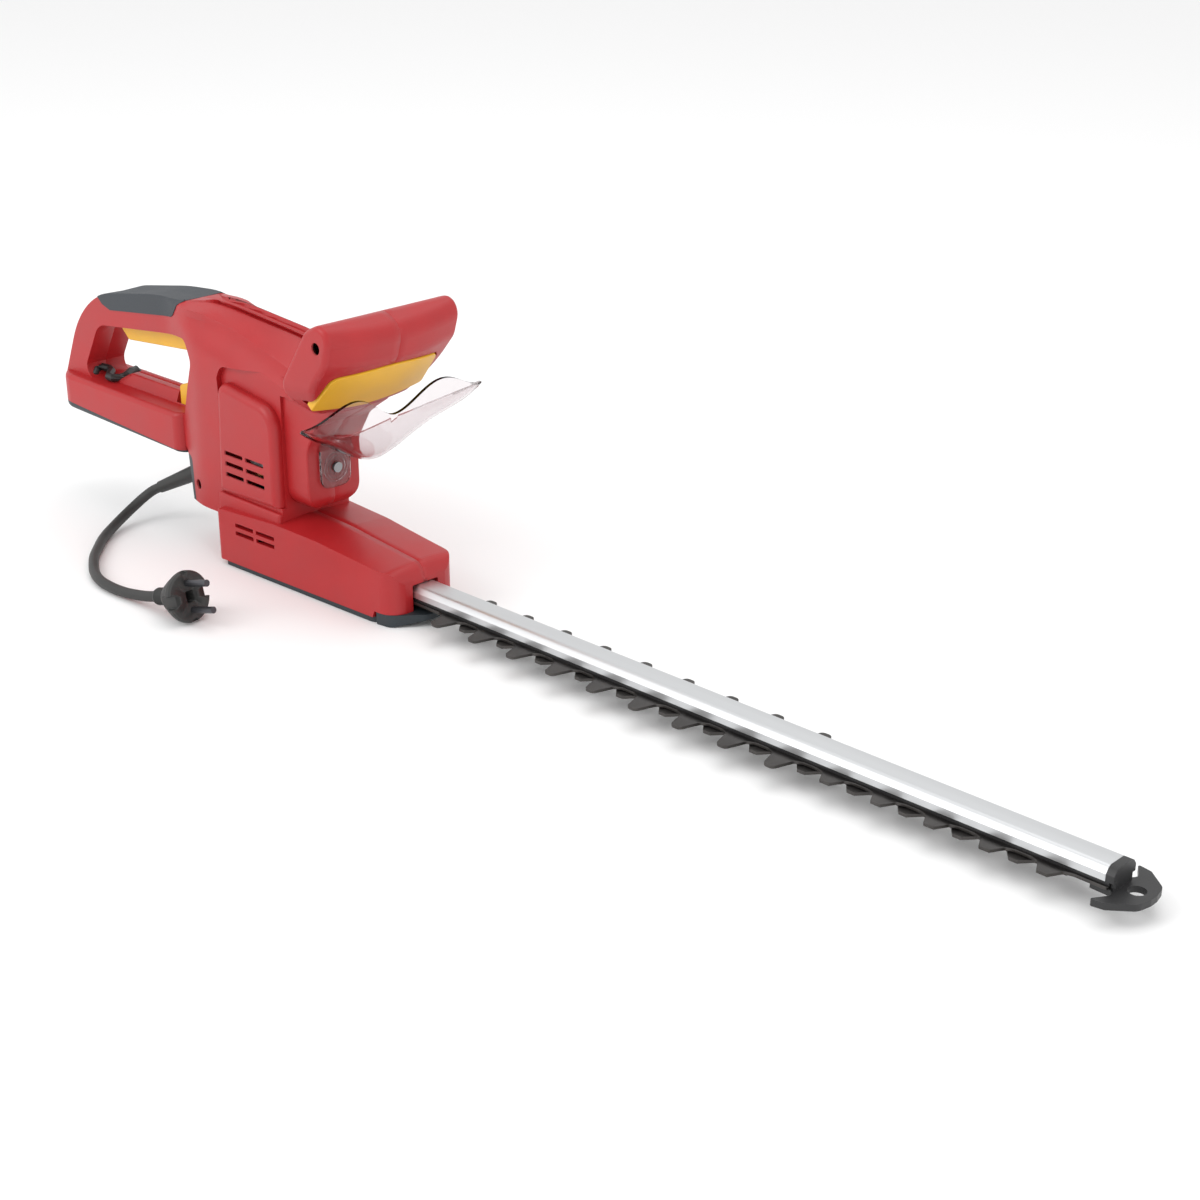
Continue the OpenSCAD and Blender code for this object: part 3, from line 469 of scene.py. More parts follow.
def pin(at: Sequence[float], along: Sequence[float], radius: float, length: float,
        segments: int = 32) -> bmesh.types.BMesh:
    """Makes a straight pin.

    Args:
        at: Middle of its first end in millimetres.
        along: Its direction.
        radius: Radius in millimetres.
        length: Length in millimetres.
        segments: Sides.

    Returns:
        The pin.
    """
    mesh = bmesh.new()
    axis = Vector(along).normalized()
    place = Matrix.Translation((Vector(at) + axis * length / 2) * MM) @ axis.to_track_quat(
        "Z", "Y").to_matrix().to_4x4()
    bmesh.ops.create_cone(mesh, cap_ends=True, segments=segments, radius1=radius * MM,
                          radius2=radius * MM, depth=length * MM, matrix=place)
    return mesh


def settle(made: bpy.types.Object) -> None:
    """Applies an object's modifiers to its mesh."""
    graph = bpy.context.evaluated_depsgraph_get()
    graph.update()
    old = made.data
    new = bpy.data.meshes.new_from_object(made.evaluated_get(graph))
    made.modifiers.clear()
    made.data = new
    bpy.data.meshes.remove(old)


def discard(spare: bpy.types.Object) -> None:
    """Removes an object and its mesh."""
    data = spare.data
    bpy.data.objects.remove(spare)
    bpy.data.meshes.remove(data)


def carve(made: bpy.types.Object, tool: bmesh.types.BMesh, how: str = "DIFFERENCE") -> None:
    """Cuts, joins or keeps what an object shares with a closed mesh.

    Args:
        made: The object to change.
        tool: The closed mesh, which is used up.
        how: DIFFERENCE, UNION or INTERSECT.
    """
    other = make_object(tool, "tool")
    modifier = made.modifiers.new("carve", "BOOLEAN")
    modifier.operation = how
    modifier.solver = "EXACT"
    modifier.object = other
    settle(made)
    discard(other)


def bevel_by_weight(made: bpy.types.Object, width: float, segments: int,
                    weight: Callable[[Vector, Vector], float]) -> None:
    """Rounds edges, each by its own share of a width.

    Args:
        made: The object to change.
        width: Width in millimetres where the weight is 1.
        segments: Faces across the rounding.
        weight: Takes an edge's middle in millimetres and its direction, and gives its share.
    """
    mesh = bmesh.new()
    mesh.from_mesh(made.data)
    layer = mesh.edges.layers.float.new("bevel_weight_edge")
    for edge in mesh.edges:
        if len(edge.link_faces) == 2 and edge.calc_face_angle(0.0) > math.radians(40):
            a, b = (v.co / MM for v in edge.verts)
            edge[layer] = weight((a + b) / 2, (b - a).normalized())
    mesh.to_mesh(made.data)
    mesh.free()
    modifier = made.modifiers.new("bevel", "BEVEL")
    modifier.width = width * MM
    modifier.segments = segments
    modifier.limit_method = "WEIGHT"
    modifier.use_clamp_overlap = True
    settle(made)


def slice_mesh(mesh: bmesh.types.BMesh, axis: int, places: Iterable[float]) -> None:
    """Cuts edges across a mesh at planes, so that it can bend there.

    Args:
        mesh: The mesh to change.
        axis: 0 for planes across X, 1 for Y, 2 for Z.
        places: Where the planes are, in millimetres.
    """
    normal = Vector((axis == 0, axis == 1, axis == 2))
    for place in places:
        bmesh.ops.bisect_plane(mesh, geom=mesh.verts[:] + mesh.edges[:] + mesh.faces[:],
                               dist=1e-6, plane_co=normal * place * MM, plane_no=normal)


def ease(value: float, low: float, high: float) -> float:
    """Goes smoothly from 0 at low to 1 at high."""
    share = min(1.0, max(0.0, (value - low) / (high - low)))
    return share * share * (3 - 2 * share)


def along(value: float, table: Sequence[tuple[float, float]]) -> float:
    """Reads a value off a line through points (place, height)."""
    for (a, low), (b, high) in zip(table, table[1:]):
        if value <= b:
            return low + (high - low) * max(0.0, (value - a) / (b - a))
    return table[-1][1]


def half_of(made: bpy.types.Object, name: str, wall: float, left: bool,
            plane: float = 0.0) -> bpy.types.Object:
    """Copies one half of a symmetric solid as a shell with a wall.

    Args:
        made: Solid that reaches past the middle plane from the right side.
        name: Name of the new piece.
        wall: Thickness of the wall in millimetres.
        left: Whether the half is mirrored to the left side.
        plane: Y in millimetres past which the solid is cut away.

    Returns:
        The half.
    """
    mesh = bmesh.new()
    mesh.from_mesh(made.data)
    bmesh.ops.bisect_plane(mesh, geom=mesh.verts[:] + mesh.edges[:] + mesh.faces[:], dist=1e-6,
                           plane_co=(0, plane * MM, 0), plane_no=(0, 1, 0), clear_outer=True)
    if left:
        bmesh.ops.scale(mesh, vec=(1, -1, 1), verts=mesh.verts)
        bmesh.ops.reverse_faces(mesh, faces=mesh.faces)
    half = make_object(mesh, name, 28)
    if wall:
        shell = half.modifiers.new("wall", "SOLIDIFY")
        shell.thickness = wall * MM
        shell.offset = -1
        settle(half)
    return half


def dress(made: bpy.types.Object, nodes: Iterable[str], slot: Optional[str] = None) -> bpy.types.Object:
    """Gives a piece its finish and its body, and puts it in place of CAD nodes.

    Args:
        made: The new piece.
        nodes: CAD nodes that it stands for; the first gives its body and slot.
        slot: Material slot, where it isn't the first node's.

    Returns:
        The piece.
    """
    nodes = list(nodes)
    shade = made.modifiers.new("shade", "WEIGHTED_NORMAL")
    shade.keep_sharp = True
    settle(made)
    chosen = slot or SLOTS[nodes[0]]
    made.data.materials.clear()
    made.data.materials.append(FINISHES[chosen].material())
    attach(made, BODY_OF[nodes[0]])
    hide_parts(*nodes)
    LOG.info("%s stands for %s", made.name, ", ".join(nodes))
    return made


SLOTS: dict[str, str] = {part["node"]: part["material_slot"] for part in frame["record"]["subparts"]}
BODY_OF: dict[str, str] = {node: body for body, nodes in frame["record"]["behaviour"]["bodies"].items()
                           for node in nodes}


# ---- Studio ----------------------------------------------------------------


@dataclass
class Studio:
    """Camera, floor and lights.

    Attributes:
        eye: Camera position in millimetres.
        azimuth: Degrees that the camera stands round from -Y towards +X.
        elevation: Degrees that it looks down.
        lens: Focal length on a 36 mm sensor.
    """

    eye: Vector = field(default_factory=lambda: Vector((1154.27, -857.04, 566.20)))
    azimuth: float = 44.33
    elevation: float = 22.80
    lens: float = 62.66

    def build(self) -> None:
        """Makes the camera, the floor and the lights."""
        self._camera()
        self._floor()
        self._lights()

    def _camera(self) -> None:
        """Makes the camera."""
        a, e = math.radians(self.azimuth), math.radians(self.elevation)
        right = Vector((math.cos(a), math.sin(a), 0))
        back = Vector((math.sin(a) * math.cos(e), -math.cos(a) * math.cos(e), math.sin(e)))
        up = back.cross(right)
        data = bpy.data.cameras.new("camera")
        data.lens = self.lens
        data.sensor_width = 36
        data.clip_start = 0.05
        camera = bpy.data.objects.new("camera", data)
        camera.matrix_world = Matrix.Translation(self.eye * MM) @ Matrix(
            (right, up, back)).transposed().to_4x4()
        bpy.context.scene.collection.objects.link(camera)
        bpy.context.scene.camera = camera

    def _floor(self) -> None:
        """Makes a plain pale floor."""
        mesh = bmesh.new()
        bmesh.ops.create_grid(mesh, x_segments=1, y_segments=1, size=6.0)
        floor = make_object(mesh, "floor")
        floor.data.transform(Matrix.Translation((0, 0, -0.0002)))
        material = bpy.data.materials.new("pale_floor")
        material.use_nodes = True
        shader = material.node_tree.nodes["Principled BSDF"]
        shader.inputs["Base Color"].default_value = (0.93, 0.93, 0.93, 1)
        shader.inputs["Roughness"].default_value = 0.9
        floor.data.materials.append(material)

    def _lights(self) -> None:
        """Makes the world's soft light, a key light, a light from above and a fill from the front."""
        world = bpy.data.worlds.new("studio")
        world.use_nodes = True
        world.node_tree.nodes["Background"].inputs["Color"].default_value = (1, 1, 1, 1)
        world.node_tree.nodes["Background"].inputs["Strength"].default_value = 0.95
        bpy.context.scene.world = world
        for name, place, aim, size, power in (
                ("key", (-0.7, -2.0, 1.7), (0.05, 0, 0.1), 1.6, 22.0),
                ("top", (0.3, 0.5, 2.2), (0.2, 0, 0.05), 1.8, 9.0),
                ("front", (2.2, -0.2, 0.9), (0.3, 0, 0.05), 1.0, 4.0)):
            data = bpy.data.lights.new(name, "AREA")
            data.energy = power
            data.size = size
            light = bpy.data.objects.new(name, data)
            ray = Vector(aim) - Vector(place)
            light.matrix_world = Matrix.Translation(place) @ ray.to_track_quat("-Z", "Y").to_matrix().to_4x4()
            bpy.context.scene.collection.objects.link(light)
        bpy.context.scene.view_settings.view_transform = "Standard"


# ---- Cord and plug ---------------------------------------------------------


@dataclass
class PowerCord:
    """Short mains cord from the strain relief to the plug.

    Attributes:
        diameter: Diameter in millimetres.
        route: Centreline in millimetres.
    """

    diameter: float = 7.5
    route: Outline = ((-136, -16, 28), (-143, -18.5, 24), (-148, -23, 19), (-150, -31, 13.5),
                      (-148, -42, 9), (-142, -56, 5.5), (-131, -72, 4), (-114, -89, 4),
                      (-101, -100.5, 4), (-88, -109.5, 4), (-75, -117, 4), (-60, -122.5, 4),
                      (-44, -124.5, 4.2), (-28, -124, 4.6), (-14, -122.5, 6), (-2, -121, 8),
                      (8, -119.5, 10.5))

    def build(self) -> bpy.types.Object:
        """Makes the cord as a smooth curve through its route.

        Returns:
            The cord.
        """
        data = bpy.data.curves.new("mains_cord", "CURVE")
        data.dimensions = "3D"
        data.bevel_depth = self.diameter / 2 * MM
        data.bevel_resolution = 6
        data.resolution_u = 8
        data.use_fill_caps = True
        spline = data.splines.new("BEZIER")
        spline.bezier_points.add(len(self.route) - 1)
        for point, place in zip(spline.bezier_points, self.route):
            point.co = Vector(place) * MM
            point.handle_left_type = point.handle_right_type = "AUTO"
        cord = bpy.data.objects.new("mains_cord", data)
        bpy.context.scene.collection.objects.link(cord)
        data.materials.append(FINISHES["cord_rubber"].material())
        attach(cord, "housing")
        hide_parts("power_cord")
        return cord

    def declare(self) -> None:
        """Logs the length of the cord.
        """
        ends = zip(self.route, self.route[1:])
        length = sum((Vector(b) - Vector(a)).length for a, b in ends) * MM
        tuple(v * MM for v in self.route[0])
        LOG.info("cord of %.3f m", length)


# ---- Housing ---------------------------------------------------------------


@dataclass
class Housing:
    """Moulded housing: loop handle, motor tower, beam and gearbox, all sizes in millimetres.

    Attributes:
        loop: Outline of the handle and the tower.
        opening: Outline of the hand opening.
        crease: Depth of the crease under the ridge along X.
        wall: Thickness of the wall.
        yoke_room: Corners of the space that the drive yoke slides into.
    """

    loop: Outline = ((-250, 72, 14), (-86, 72, 3), (-80, 35, 0), (34, 35, 0), (34, 139, 0),
                     (86, 141, 0), (84, 168, 0), (40, 177, 300), (-52, 184, 300), (-120, 181, 280),
                     (-196, 168, 72), (-228, 146, 84), (-256, 88, 16))
    opening: Outline = ((-229, 97, 9), (-88, 97, 6), (-66, 143, 9), (-75, 158, 9), (-201, 143, 18))
    crease: Sequence[tuple[float, float]] = ((-70, 3), (-61, 3.5), (-16, 8.5), (31, 17), (80, 26))
    yoke_room: Sequence[tuple[float, float, float]] = ((57, -20.5, 12.8), (70, 20.5, 19.4))
    grip_half: float = 17.0
    tower_half: float = 29.0
    rim: float = 9.0
    wall: float = 2.6
    window: Outline = ((-30, 58, 4), (24, 58, 4), (24, 124, 8), (-30, 130, 8))
    arch: Outline = ((-33, 120, 0), (27, 120, 0), (27, 57, 0), (46, 57, 0), (46, 154.5, 6),
                     (-29, 148, 9), (-34, 139, 4))
    trim: Outline = ((-262, 60, 0), (-86, 58, 0), (-86, 30, 0), (-75, 30, 0), (-77.5, 68.5, 5),
                     (-245, 76.5, 0), (-262, 80, 0))
    pad: Sequence[tuple[float, float]] = ((-203, 176), (-199, 167), (-192, 161), (-182, 158),
                                          (-100, 168.5), (-96, 170.5), (-76, 192))
    skin: float = 1.6
    screws: Sequence[tuple[float, float, int]] = ((-240, 100, 1), (-60, 167, 1), (24, 152, 1),
                                                  (-27, 24, 1), (138, 34, 1), (-68, 50, -1))

    def build(self) -> None:
        """Makes both halves, the trim and the soft pad."""
        pad = self._pad()
        dress(pad, ["grip_pad"])
        solid = self._loop(0.0)
        for tool in (self._beam(), self._gearbox(), self._plinth(), self._rib()):
            carve(solid, tool, "UNION")
        trim = bpy.data.objects.new("trim", solid.data.copy())
        bpy.context.scene.collection.objects.link(trim)
        carve(trim, slab(self.trim, 2, -60), "INTERSECT")
        carve(solid, slab(self.trim, 2, -60))
        self._cut(solid)
        for left, node in ((False, "housing_right"), (True, "housing_left")):
            half = half_of(solid, f"{node}_shell", self.wall, left)
            carve(half, block(*self.yoke_room))
            for x, z, side in self.screws:
                if (side > 0) == left:
                    carve(half, pin((x, 5 * side, z), (0, side, 0), 3.9, 60))
            dress(half, [node])
        both = half_of(trim, "rear_trim_strip", 0, False)
        self._mirror(both)
        dress(both, ["rear_trim"])
        for spare in (solid, trim):
            discard(spare)

    def _mirror(self, made: bpy.types.Object) -> None:
        """Adds the mirrored left side to a right half, joined at the middle."""
        mesh = bmesh.new()
        mesh.from_mesh(made.data)
        bmesh.ops.mirror(mesh, geom=mesh.verts[:] + mesh.edges[:] + mesh.faces[:], axis="Y",
                         merge_dist=1e-5)
        bmesh.ops.recalc_face_normals(mesh, faces=mesh.faces)
        mesh.to_mesh(made.data)
        mesh.free()
        made.data.polygons.foreach_set("use_smooth", [True] * len(made.data.polygons))
        made.data.set_sharp_from_angle(angle=math.radians(30))

    def _profile(self, depth: float) -> float:
        """Returns the slab's half width at a depth under its rim."""
        inner = max(0.0, self.rim - max(0.0, depth))
        return self.grip_half - self.rim + math.sqrt(self.rim ** 2 - inner ** 2)

    def _ridge(self) -> list[tuple[float, float]]:
        """Returns the height of the top ridge along X."""
        return sorted((p.x / MM, p.y / MM) for p in rounded(self.loop) if p.y > 0.150)

    def _half_width(self, x: float, z: float, ridge: Sequence[tuple[float, float]]) -> float:
        """Works out by how much the loop's slab is widened at a point.

        Args:
            x: Place along the tool.
            z: Height.
            ridge: Height of the top ridge along X.

        Returns:
            The factor on Y.
        """
        flare = 1 + (self.tower_half / self.grip_half - 1) * ease(x, -112, -56)
        top = ease(x, -104, -58)
        if top <= 0:
            return flare
        depth = along(x, ridge) - z
        crease = along(x, self.crease)
        reach = self.grip_half * flare
        shoulder = min(20.0, reach)
        if depth < crease:
            wanted = 3 + (shoulder - 3) * max(0.0, depth) / crease
        else:
            wanted = shoulder + (reach - shoulder) * ease(depth, crease, crease + 24)
        return flare * (1 - top) + top * wanted / self._profile(depth)

    def _loop(self, grow: float) -> bpy.types.Object:
        """Makes the handle and the tower's core as one solid.

        Args:
            grow: How far the surface stands out from the housing's.

        Returns:
            The solid's right half, closed just past the middle.
        """
        solid = make_object(slab(self.loop, 1, -self.grip_half, self.opening, -140), "loop")
        hole = (-232, -64, 94, 160)

        def weight(middle: Vector, _: Vector) -> float:
            """Gives each rim edge its share of the rounding."""
            if middle.y > -self.grip_half + 0.1:
                return 0.0
            if middle.x > -90 and middle.z < 142 and not self._in_hole(middle, hole):
                return 0.25
            return 0.7 if self._in_hole(middle, hole) else 1.0

        bevel_by_weight(solid, self.rim, 7, weight)
        mesh = bmesh.new()
        mesh.from_mesh(solid.data)
        ridge = self._ridge()
        slice_mesh(mesh, 0, range(-244, 84, 6))
        slice_mesh(mesh, 2, range(42, 184, 6))
        for (x0, d0), (x1, d1) in zip(self.crease[1:], self.crease[2:]):
            a = Vector((x0, 0, along(x0, ridge) - d0)) * MM
            b = Vector((x1, 0, along(x1, ridge) - d1)) * MM
            bmesh.ops.bisect_plane(mesh, geom=mesh.verts[:] + mesh.edges[:] + mesh.faces[:],
                                   dist=1e-6, plane_co=a, plane_no=(b - a).cross(Vector((0, 1, 0))))
        for vert in mesh.verts:
            if vert.co.y < 0:
                vert.co.y *= self._half_width(vert.co.x / MM, vert.co.z / MM, ridge)
        mesh.normal_update()
        if grow:
            for vert, normal in [(v, v.normal.copy()) for v in mesh.verts]:
                if vert.co.y < 0:
                    vert.co += normal * grow * MM
        mesh.to_mesh(solid.data)
        mesh.free()
        return solid

    def _in_hole(self, at: Vector, hole: tuple[float, float, float, float]) -> bool:
        """Says whether a point lies on the rim of the hand opening."""
        slope = -88 + (at.z - 97) * 22 / 46
        return hole[0] < at.x < max(slope, -66.5) + 3 and hole[2] < at.z < hole[3]

    def _tapered(self, mesh: bmesh.types.BMesh, half: float, limit: Callable[[float], float],
                 cuts: Iterable[float]) -> bmesh.types.BMesh:
        """Narrows a slab along X.

        Args:
            mesh: The slab.
            half: Its half width.
            limit: Half width wanted at a place along X.
            cuts: Where it is sliced first.

        Returns:
            The same mesh.
        """
        slice_mesh(mesh, 0, cuts)
        for vert in mesh.verts:
            if vert.co.y < 0:
                vert.co.y *= limit(vert.co.x / MM) / half
        return mesh

    def _beam(self) -> bmesh.types.BMesh:
        """Makes the lower beam of the handle."""
        mesh = slab(((-256, 71, 5), (-90, 67, 0), (-90, 98, 0), (-256, 98, 0)), 1, -26)
        round_edges(mesh, 4.0, 4, 60, lambda m: m.y < -20 and m.x < -92)

        def limit(x: float) -> float:
            """Rounds both ends in plan."""
            if x < -234:
                return 4 + math.sqrt(max(0.0, 22 ** 2 - (x + 234) ** 2))
            if x > -99:
                return 17 + math.sqrt(max(0.0, 81 - (x + 99) ** 2))
            return 26.0

        return self._tapered(mesh, 26, limit, [*range(-255, -233, 2), *range(-99, -90, 1)])

    def _gearbox(self) -> bmesh.types.BMesh:
        """Makes the gearbox with its crowned top and tapered plan."""
        outline = ((-37, 4, 3), (130, 4, 0), (132, 9, 0), (151, 9, 0), (151, 30, 0),
                   (147, 40.5, 9), (74, 47.5, 30), (30, 49, 20), (-37, 46, 7))
        mesh = slab(outline, 1, -37)
        round_edges(mesh, 5.0, 5, 50, lambda m: m.y < -36 and m.z > 10)
        slice_mesh(mesh, 1, range(-36, 0, 6))

        def limit(x: float) -> float:
            """Tapers the plan and rounds its front corner."""
            side = 37 - 7 * (x + 37) / 175
            if x < -31:
                side -= 6 - math.sqrt(max(0.0, 36 - (x + 31) ** 2))
            return side if x < 137 else side - 13 + math.sqrt(max(0.0, 169 - (x - 137) ** 2 * 0.86))

        self._tapered(mesh, 37, limit, [*range(-36, -30, 1), *range(-20, 134, 14),
                                        *range(137, 151, 1)])
        for vert in mesh.verts:
            lift = ease(vert.co.z / MM, 28, 46)
            vert.co.z -= 3.5 * MM * lift * (vert.co.y / (37 * MM)) ** 2
        return mesh

    def _plinth(self) -> bmesh.types.BMesh:
        """Makes the ledge round the tower's foot."""
        return block((-38, -32, 40), (33.5, 1, 53.5), 2.0)

    def _rib(self) -> bmesh.types.BMesh:
        """Makes the raised rib on the beam under the hand."""
        mesh = slab(((-206, 92, 0), (-92, 92, 0), (-92, 107, 0), (-178, 107, 4)), 1, -12)
        for vert in mesh.verts:
            if vert.co.z > 0.1 and vert.co.y < -0.01:
                vert.co.y = -6.5 * MM
        round_edges(mesh, 1.6, 3, 30, lambda m: m.y < -5)
        return mesh

    def _cut(self, solid: bpy.types.Object) -> None:
        """Cuts the window, the arch, the vents, and the room for other pieces."""
        carve(solid, slab(self.arch, -25.2, -60))
        carve(solid, slab(self.window, -10, -60))
        carve(solid, blocks([((-14 + 23 * col, -60, 33 - 6 * row), (6 + 23 * col, -20, 36 - 6 * row))
                             for row in range(2) for col in range(2)], 0.5))
        carve(solid, block((68, -11.4, 5), (200, 5, 27.6), 1.0))
        carve(solid, block((-115, -9.4, 93), (-91.1, 5, 113)))
        carve(solid, block((-190, -7.4, 130), (-78, 5, 160)))

    def _pad(self) -> bpy.types.Object:
        """Makes the soft pad as a raised skin on the grip.

        Returns:
            The pad.
        """
        grown = self._loop(0.6)
        mesh = bmesh.new()
        mesh.from_mesh(grown.data)
        for (x0, z0), (x1, z1) in zip(self.pad, self.pad[1:]):
            bmesh.ops.bisect_plane(mesh, geom=mesh.verts[:] + mesh.edges[:] + mesh.faces[:],
                                   dist=1e-6, plane_co=(x0 * MM, 0, z0 * MM),
                                   plane_no=(z1 - z0, 0, x0 - x1), clear_outer=True)
        mesh.to_mesh(grown.data)
        mesh.free()
        pad = half_of(grown, "grip_pad_skin", self.skin, False)
        discard(grown)
        self._mirror(pad)
        return pad


# ---- Covers ----------------------------------------------------------------


@dataclass
class SideCovers:
    """Vented covers on both sides of the motor.

    Attributes:
        outline: Outline of a cover.
        inner: Y of its open back on the right side.
        outer: Y of its face.
        vents: First corner of the vents in X and Z.
    """

    outline: Outline = ((-36, 53.7, 2), (32.5, 56, 2), (33.6, 129, 18), (-31, 138, 9))
    inner: float = -22.0
    outer: float = -33.0
    wall: float = 2.4
    rim: float = 6.0
    vents: tuple[float, float] = (-25.0, 68.5)

    def build(self) -> None:
        """Makes both covers."""
        solid = make_object(self._pillow(), "cover")
        for left, node in ((False, "side_cover_right"), (True, "side_cover_left")):
            cover = half_of(solid, f"{node}_vented", self.wall, left, self.inner - 0.5)
            side = 1 if left else -1
            carve(cover, blocks([((self.vents[0] + 24 * col, side * 20, self.vents[1] + 8 * row),
                                  (self.vents[0] + 24 * col + 21, side * 50,
                                   self.vents[1] + 8 * row + 3.3))
                                 for row in range(3) for col in range(2)], 0.8))
            dress(cover, [node])
        discard(solid)

    def _pillow(self) -> bmesh.types.BMesh:
        """Makes a cover's block, its face drawn in ring by ring to a round rim."""
        mesh = bmesh.new()
        steps = 8
        rings = []
        for k in range(-1, steps + 1):
            angle = math.radians(90 * max(k, 0) / steps)
            y = self.inner if k < 0 else self.outer + self.rim * (1 - math.sin(angle))
            corners = self._inset((1 - math.cos(angle)) * self.rim)
            rings.append([mesh.verts.new((p.x, y * MM, p.y)) for p in rounded(corners, 8)])
        for low, high in zip(rings, rings[1:]):
            for i in range(len(low)):
                mesh.faces.new((low[i - 1], low[i], high[i], high[i - 1]))
        mesh.faces.new(rings[0])
        mesh.faces.new(rings[-1])
        bmesh.ops.recalc_face_normals(mesh, faces=mesh.faces)
        return mesh

    def _inset(self, by: float) -> Outline:
        """Moves every side of the outline inwards."""
        moved = []
        for i, (x, z, radius) in enumerate(self.outline):
            here = Vector((x, z))
            before = (Vector(self.outline[i - 1][:2]) - here).normalized()
            after = (Vector(self.outline[(i + 1) % len(self.outline)][:2]) - here).normalized()
            here += (before + after).normalized() * by / math.sin(before.angle(after) / 2)
            moved.append((here.x, here.y, max(radius - by, 0.6)))
        return tuple(moved)


# ---- Front handle ----------------------------------------------------------


@dataclass
class FrontHandle:
    """Bar handle on its column, in two halves, with the yellow bar in its face.

    Attributes:
        paddle: Outline of the handle at the middle.
        column: Outline of the column.
        half: Half width of the handle.
        column_half: Half width of the column.
        recede: How far the front curves back at the ends.
        face: Middle of the front face in X and Z.
        up: Direction up the front face in X and Z.
        bar: Outline of the yellow bar in Y and up the front face.
        proud: How far the bar stands out.
    """

    paddle: Outline = ((84, 138, 4), (97, 141, 7), (131, 181, 18), (137.5, 202, 12),
                       (119, 211.5, 13), (105, 205, 18), (73, 159, 18))
    column: Outline = ((33, 57, 0), (52, 57, 8), (57.3, 64, 10), (57.3, 104, 22),
                       (72, 126, 14), (97, 141.2, 4), (88, 152, 0), (33, 152, 0))
    half: float = 57.0
    column_half: float = 23.0
    recede: float = 6.5
    wall: float = 2.4
    face: tuple[float, float] = (114.0, 161.2)
    up: tuple[float, float] = (0.649, 0.761)
    bar: Outline = ((-48.5, -21, 2.5), (0, -22.5, 150), (48.5, -21, 2.5), (45, 13, 8), (0, 20, 90),
                    (-45, 13, 8))
    proud: float = 1.2
    screws: Sequence[tuple[float, float, int]] = ((117.5, 195.5, -1), (84, 158, 1), (42, 70, 1))

    def build(self) -> None:
        """Makes both halves and the yellow bar."""
        solid = make_object(self._paddle(), "front_handle")
        carve(solid, self._column(), "UNION")
        carve(solid, self._bar(-9.0, 12.0, 0.8))
        mesh = bmesh.new()
        mesh.from_mesh(solid.data)
        self._curve(mesh)
        mesh.to_mesh(solid.data)
        mesh.free()
        for left, node in ((False, "front_handle_right"), (True, "front_handle_left")):
            half = half_of(solid, f"{node}_shell", self.wall, left)
            for x, z, side in self.screws:
                if (side > 0) == left:
                    reach = self.half if x > 60 else self.column_half
                    carve(half, pin((x, side * (reach - 8), z), (0, side, 0), 4.1, 60))
            dress(half, [node])
        discard(solid)
        bar = self._bar(-4.6, self.proud, 0.0)
        round_edges(bar, 0.8, 3, 50)
        self._curve(bar)
        dress(make_object(bar, "switch_bar_lens", 25), ["switch_bar"])

    def _paddle(self) -> bmesh.types.BMesh:
        """Makes the right half of the handle above the column."""
        made = make_object(slab(self.paddle, 1, -self.half), "paddle")
        bevel_by_weight(made, 4.5, 6, lambda middle, _: float(middle.y < 0.1 - self.half))
        mesh = bmesh.new()
        mesh.from_mesh(made.data)
        discard(made)
        slice_mesh(mesh, 2, range(140, 176, 4))
        for vert in mesh.verts:
            if vert.co.y < 0:
                low = max(0.0, 170 - vert.co.z / MM) / 36
                vert.co.y *= 1 - 0.5 * low ** 2
        return mesh

    def _column(self) -> bmesh.types.BMesh:
        """Makes the right half of the column with its rounded foot."""
        made = make_object(slab(self.column, 1, -self.column_half), "column")
        bevel_by_weight(made, 7.0, 6, lambda middle, _: float(
            middle.y < 0.1 - self.column_half and middle.x > 40 and middle.z < 145))
        mesh = bmesh.new()
        mesh.from_mesh(made.data)
        discard(made)
        slice_mesh(mesh, 2, range(58, 76, 2))
        for vert in mesh.verts:
            rise = min(16.0, vert.co.z / MM - 57)
            if vert.co.y < 0:
                vert.co.y *= (self.column_half - 16 + math.sqrt(256 - (16 - rise) ** 2)
                              ) / self.column_half
        return mesh

    def _bar(self, low: float, high: float, grow: float) -> bmesh.types.BMesh:
        """Makes the lens of the yellow bar.

        Args:
            low: Its inner face, from the front face.
            high: Its outer face.
            grow: Gap round it.

        Returns:
            The closed lens.
        """
        mesh = bmesh.new()
        corners = [mesh.verts.new((self.face[0] + self.up[0] * v, u, self.face[1] + self.up[1] * v))
                   for u, v in ((p / MM) * (1 + grow / 24) for p in rounded(self.bar))]
        mesh.faces.new(corners)
        bmesh.ops.scale(mesh, vec=(MM, MM, MM), verts=mesh.verts)
        outward = Vector((self.up[1], 0, -self.up[0])) * MM
        bmesh.ops.translate(mesh, verts=mesh.verts, vec=outward * low)
        grown = bmesh.ops.extrude_face_region(mesh, geom=mesh.faces[:])["geom"]
        bmesh.ops.translate(mesh, verts=[v for v in grown if isinstance(v, bmesh.types.BMVert)],
                            vec=outward * (high - low))
        bmesh.ops.recalc_face_normals(mesh, faces=mesh.faces)
        return mesh

    def _curve(self, mesh: bmesh.types.BMesh) -> None:
        """Curves the front of the handle back towards both ends."""
        slice_mesh(mesh, 1, range(-54, 55, 6))
        for vert in mesh.verts:
            x, y, z = vert.co / MM
            depth = (x - 73) * 0.821 - (z - 159) * 0.571
            share = min(1.0, (y / self.half) ** 2) * ease(depth, 4, 24) * ease(z, 118, 142)
            vert.co -= Vector((0.821, 0, -0.571)) * self.recede * share * MM


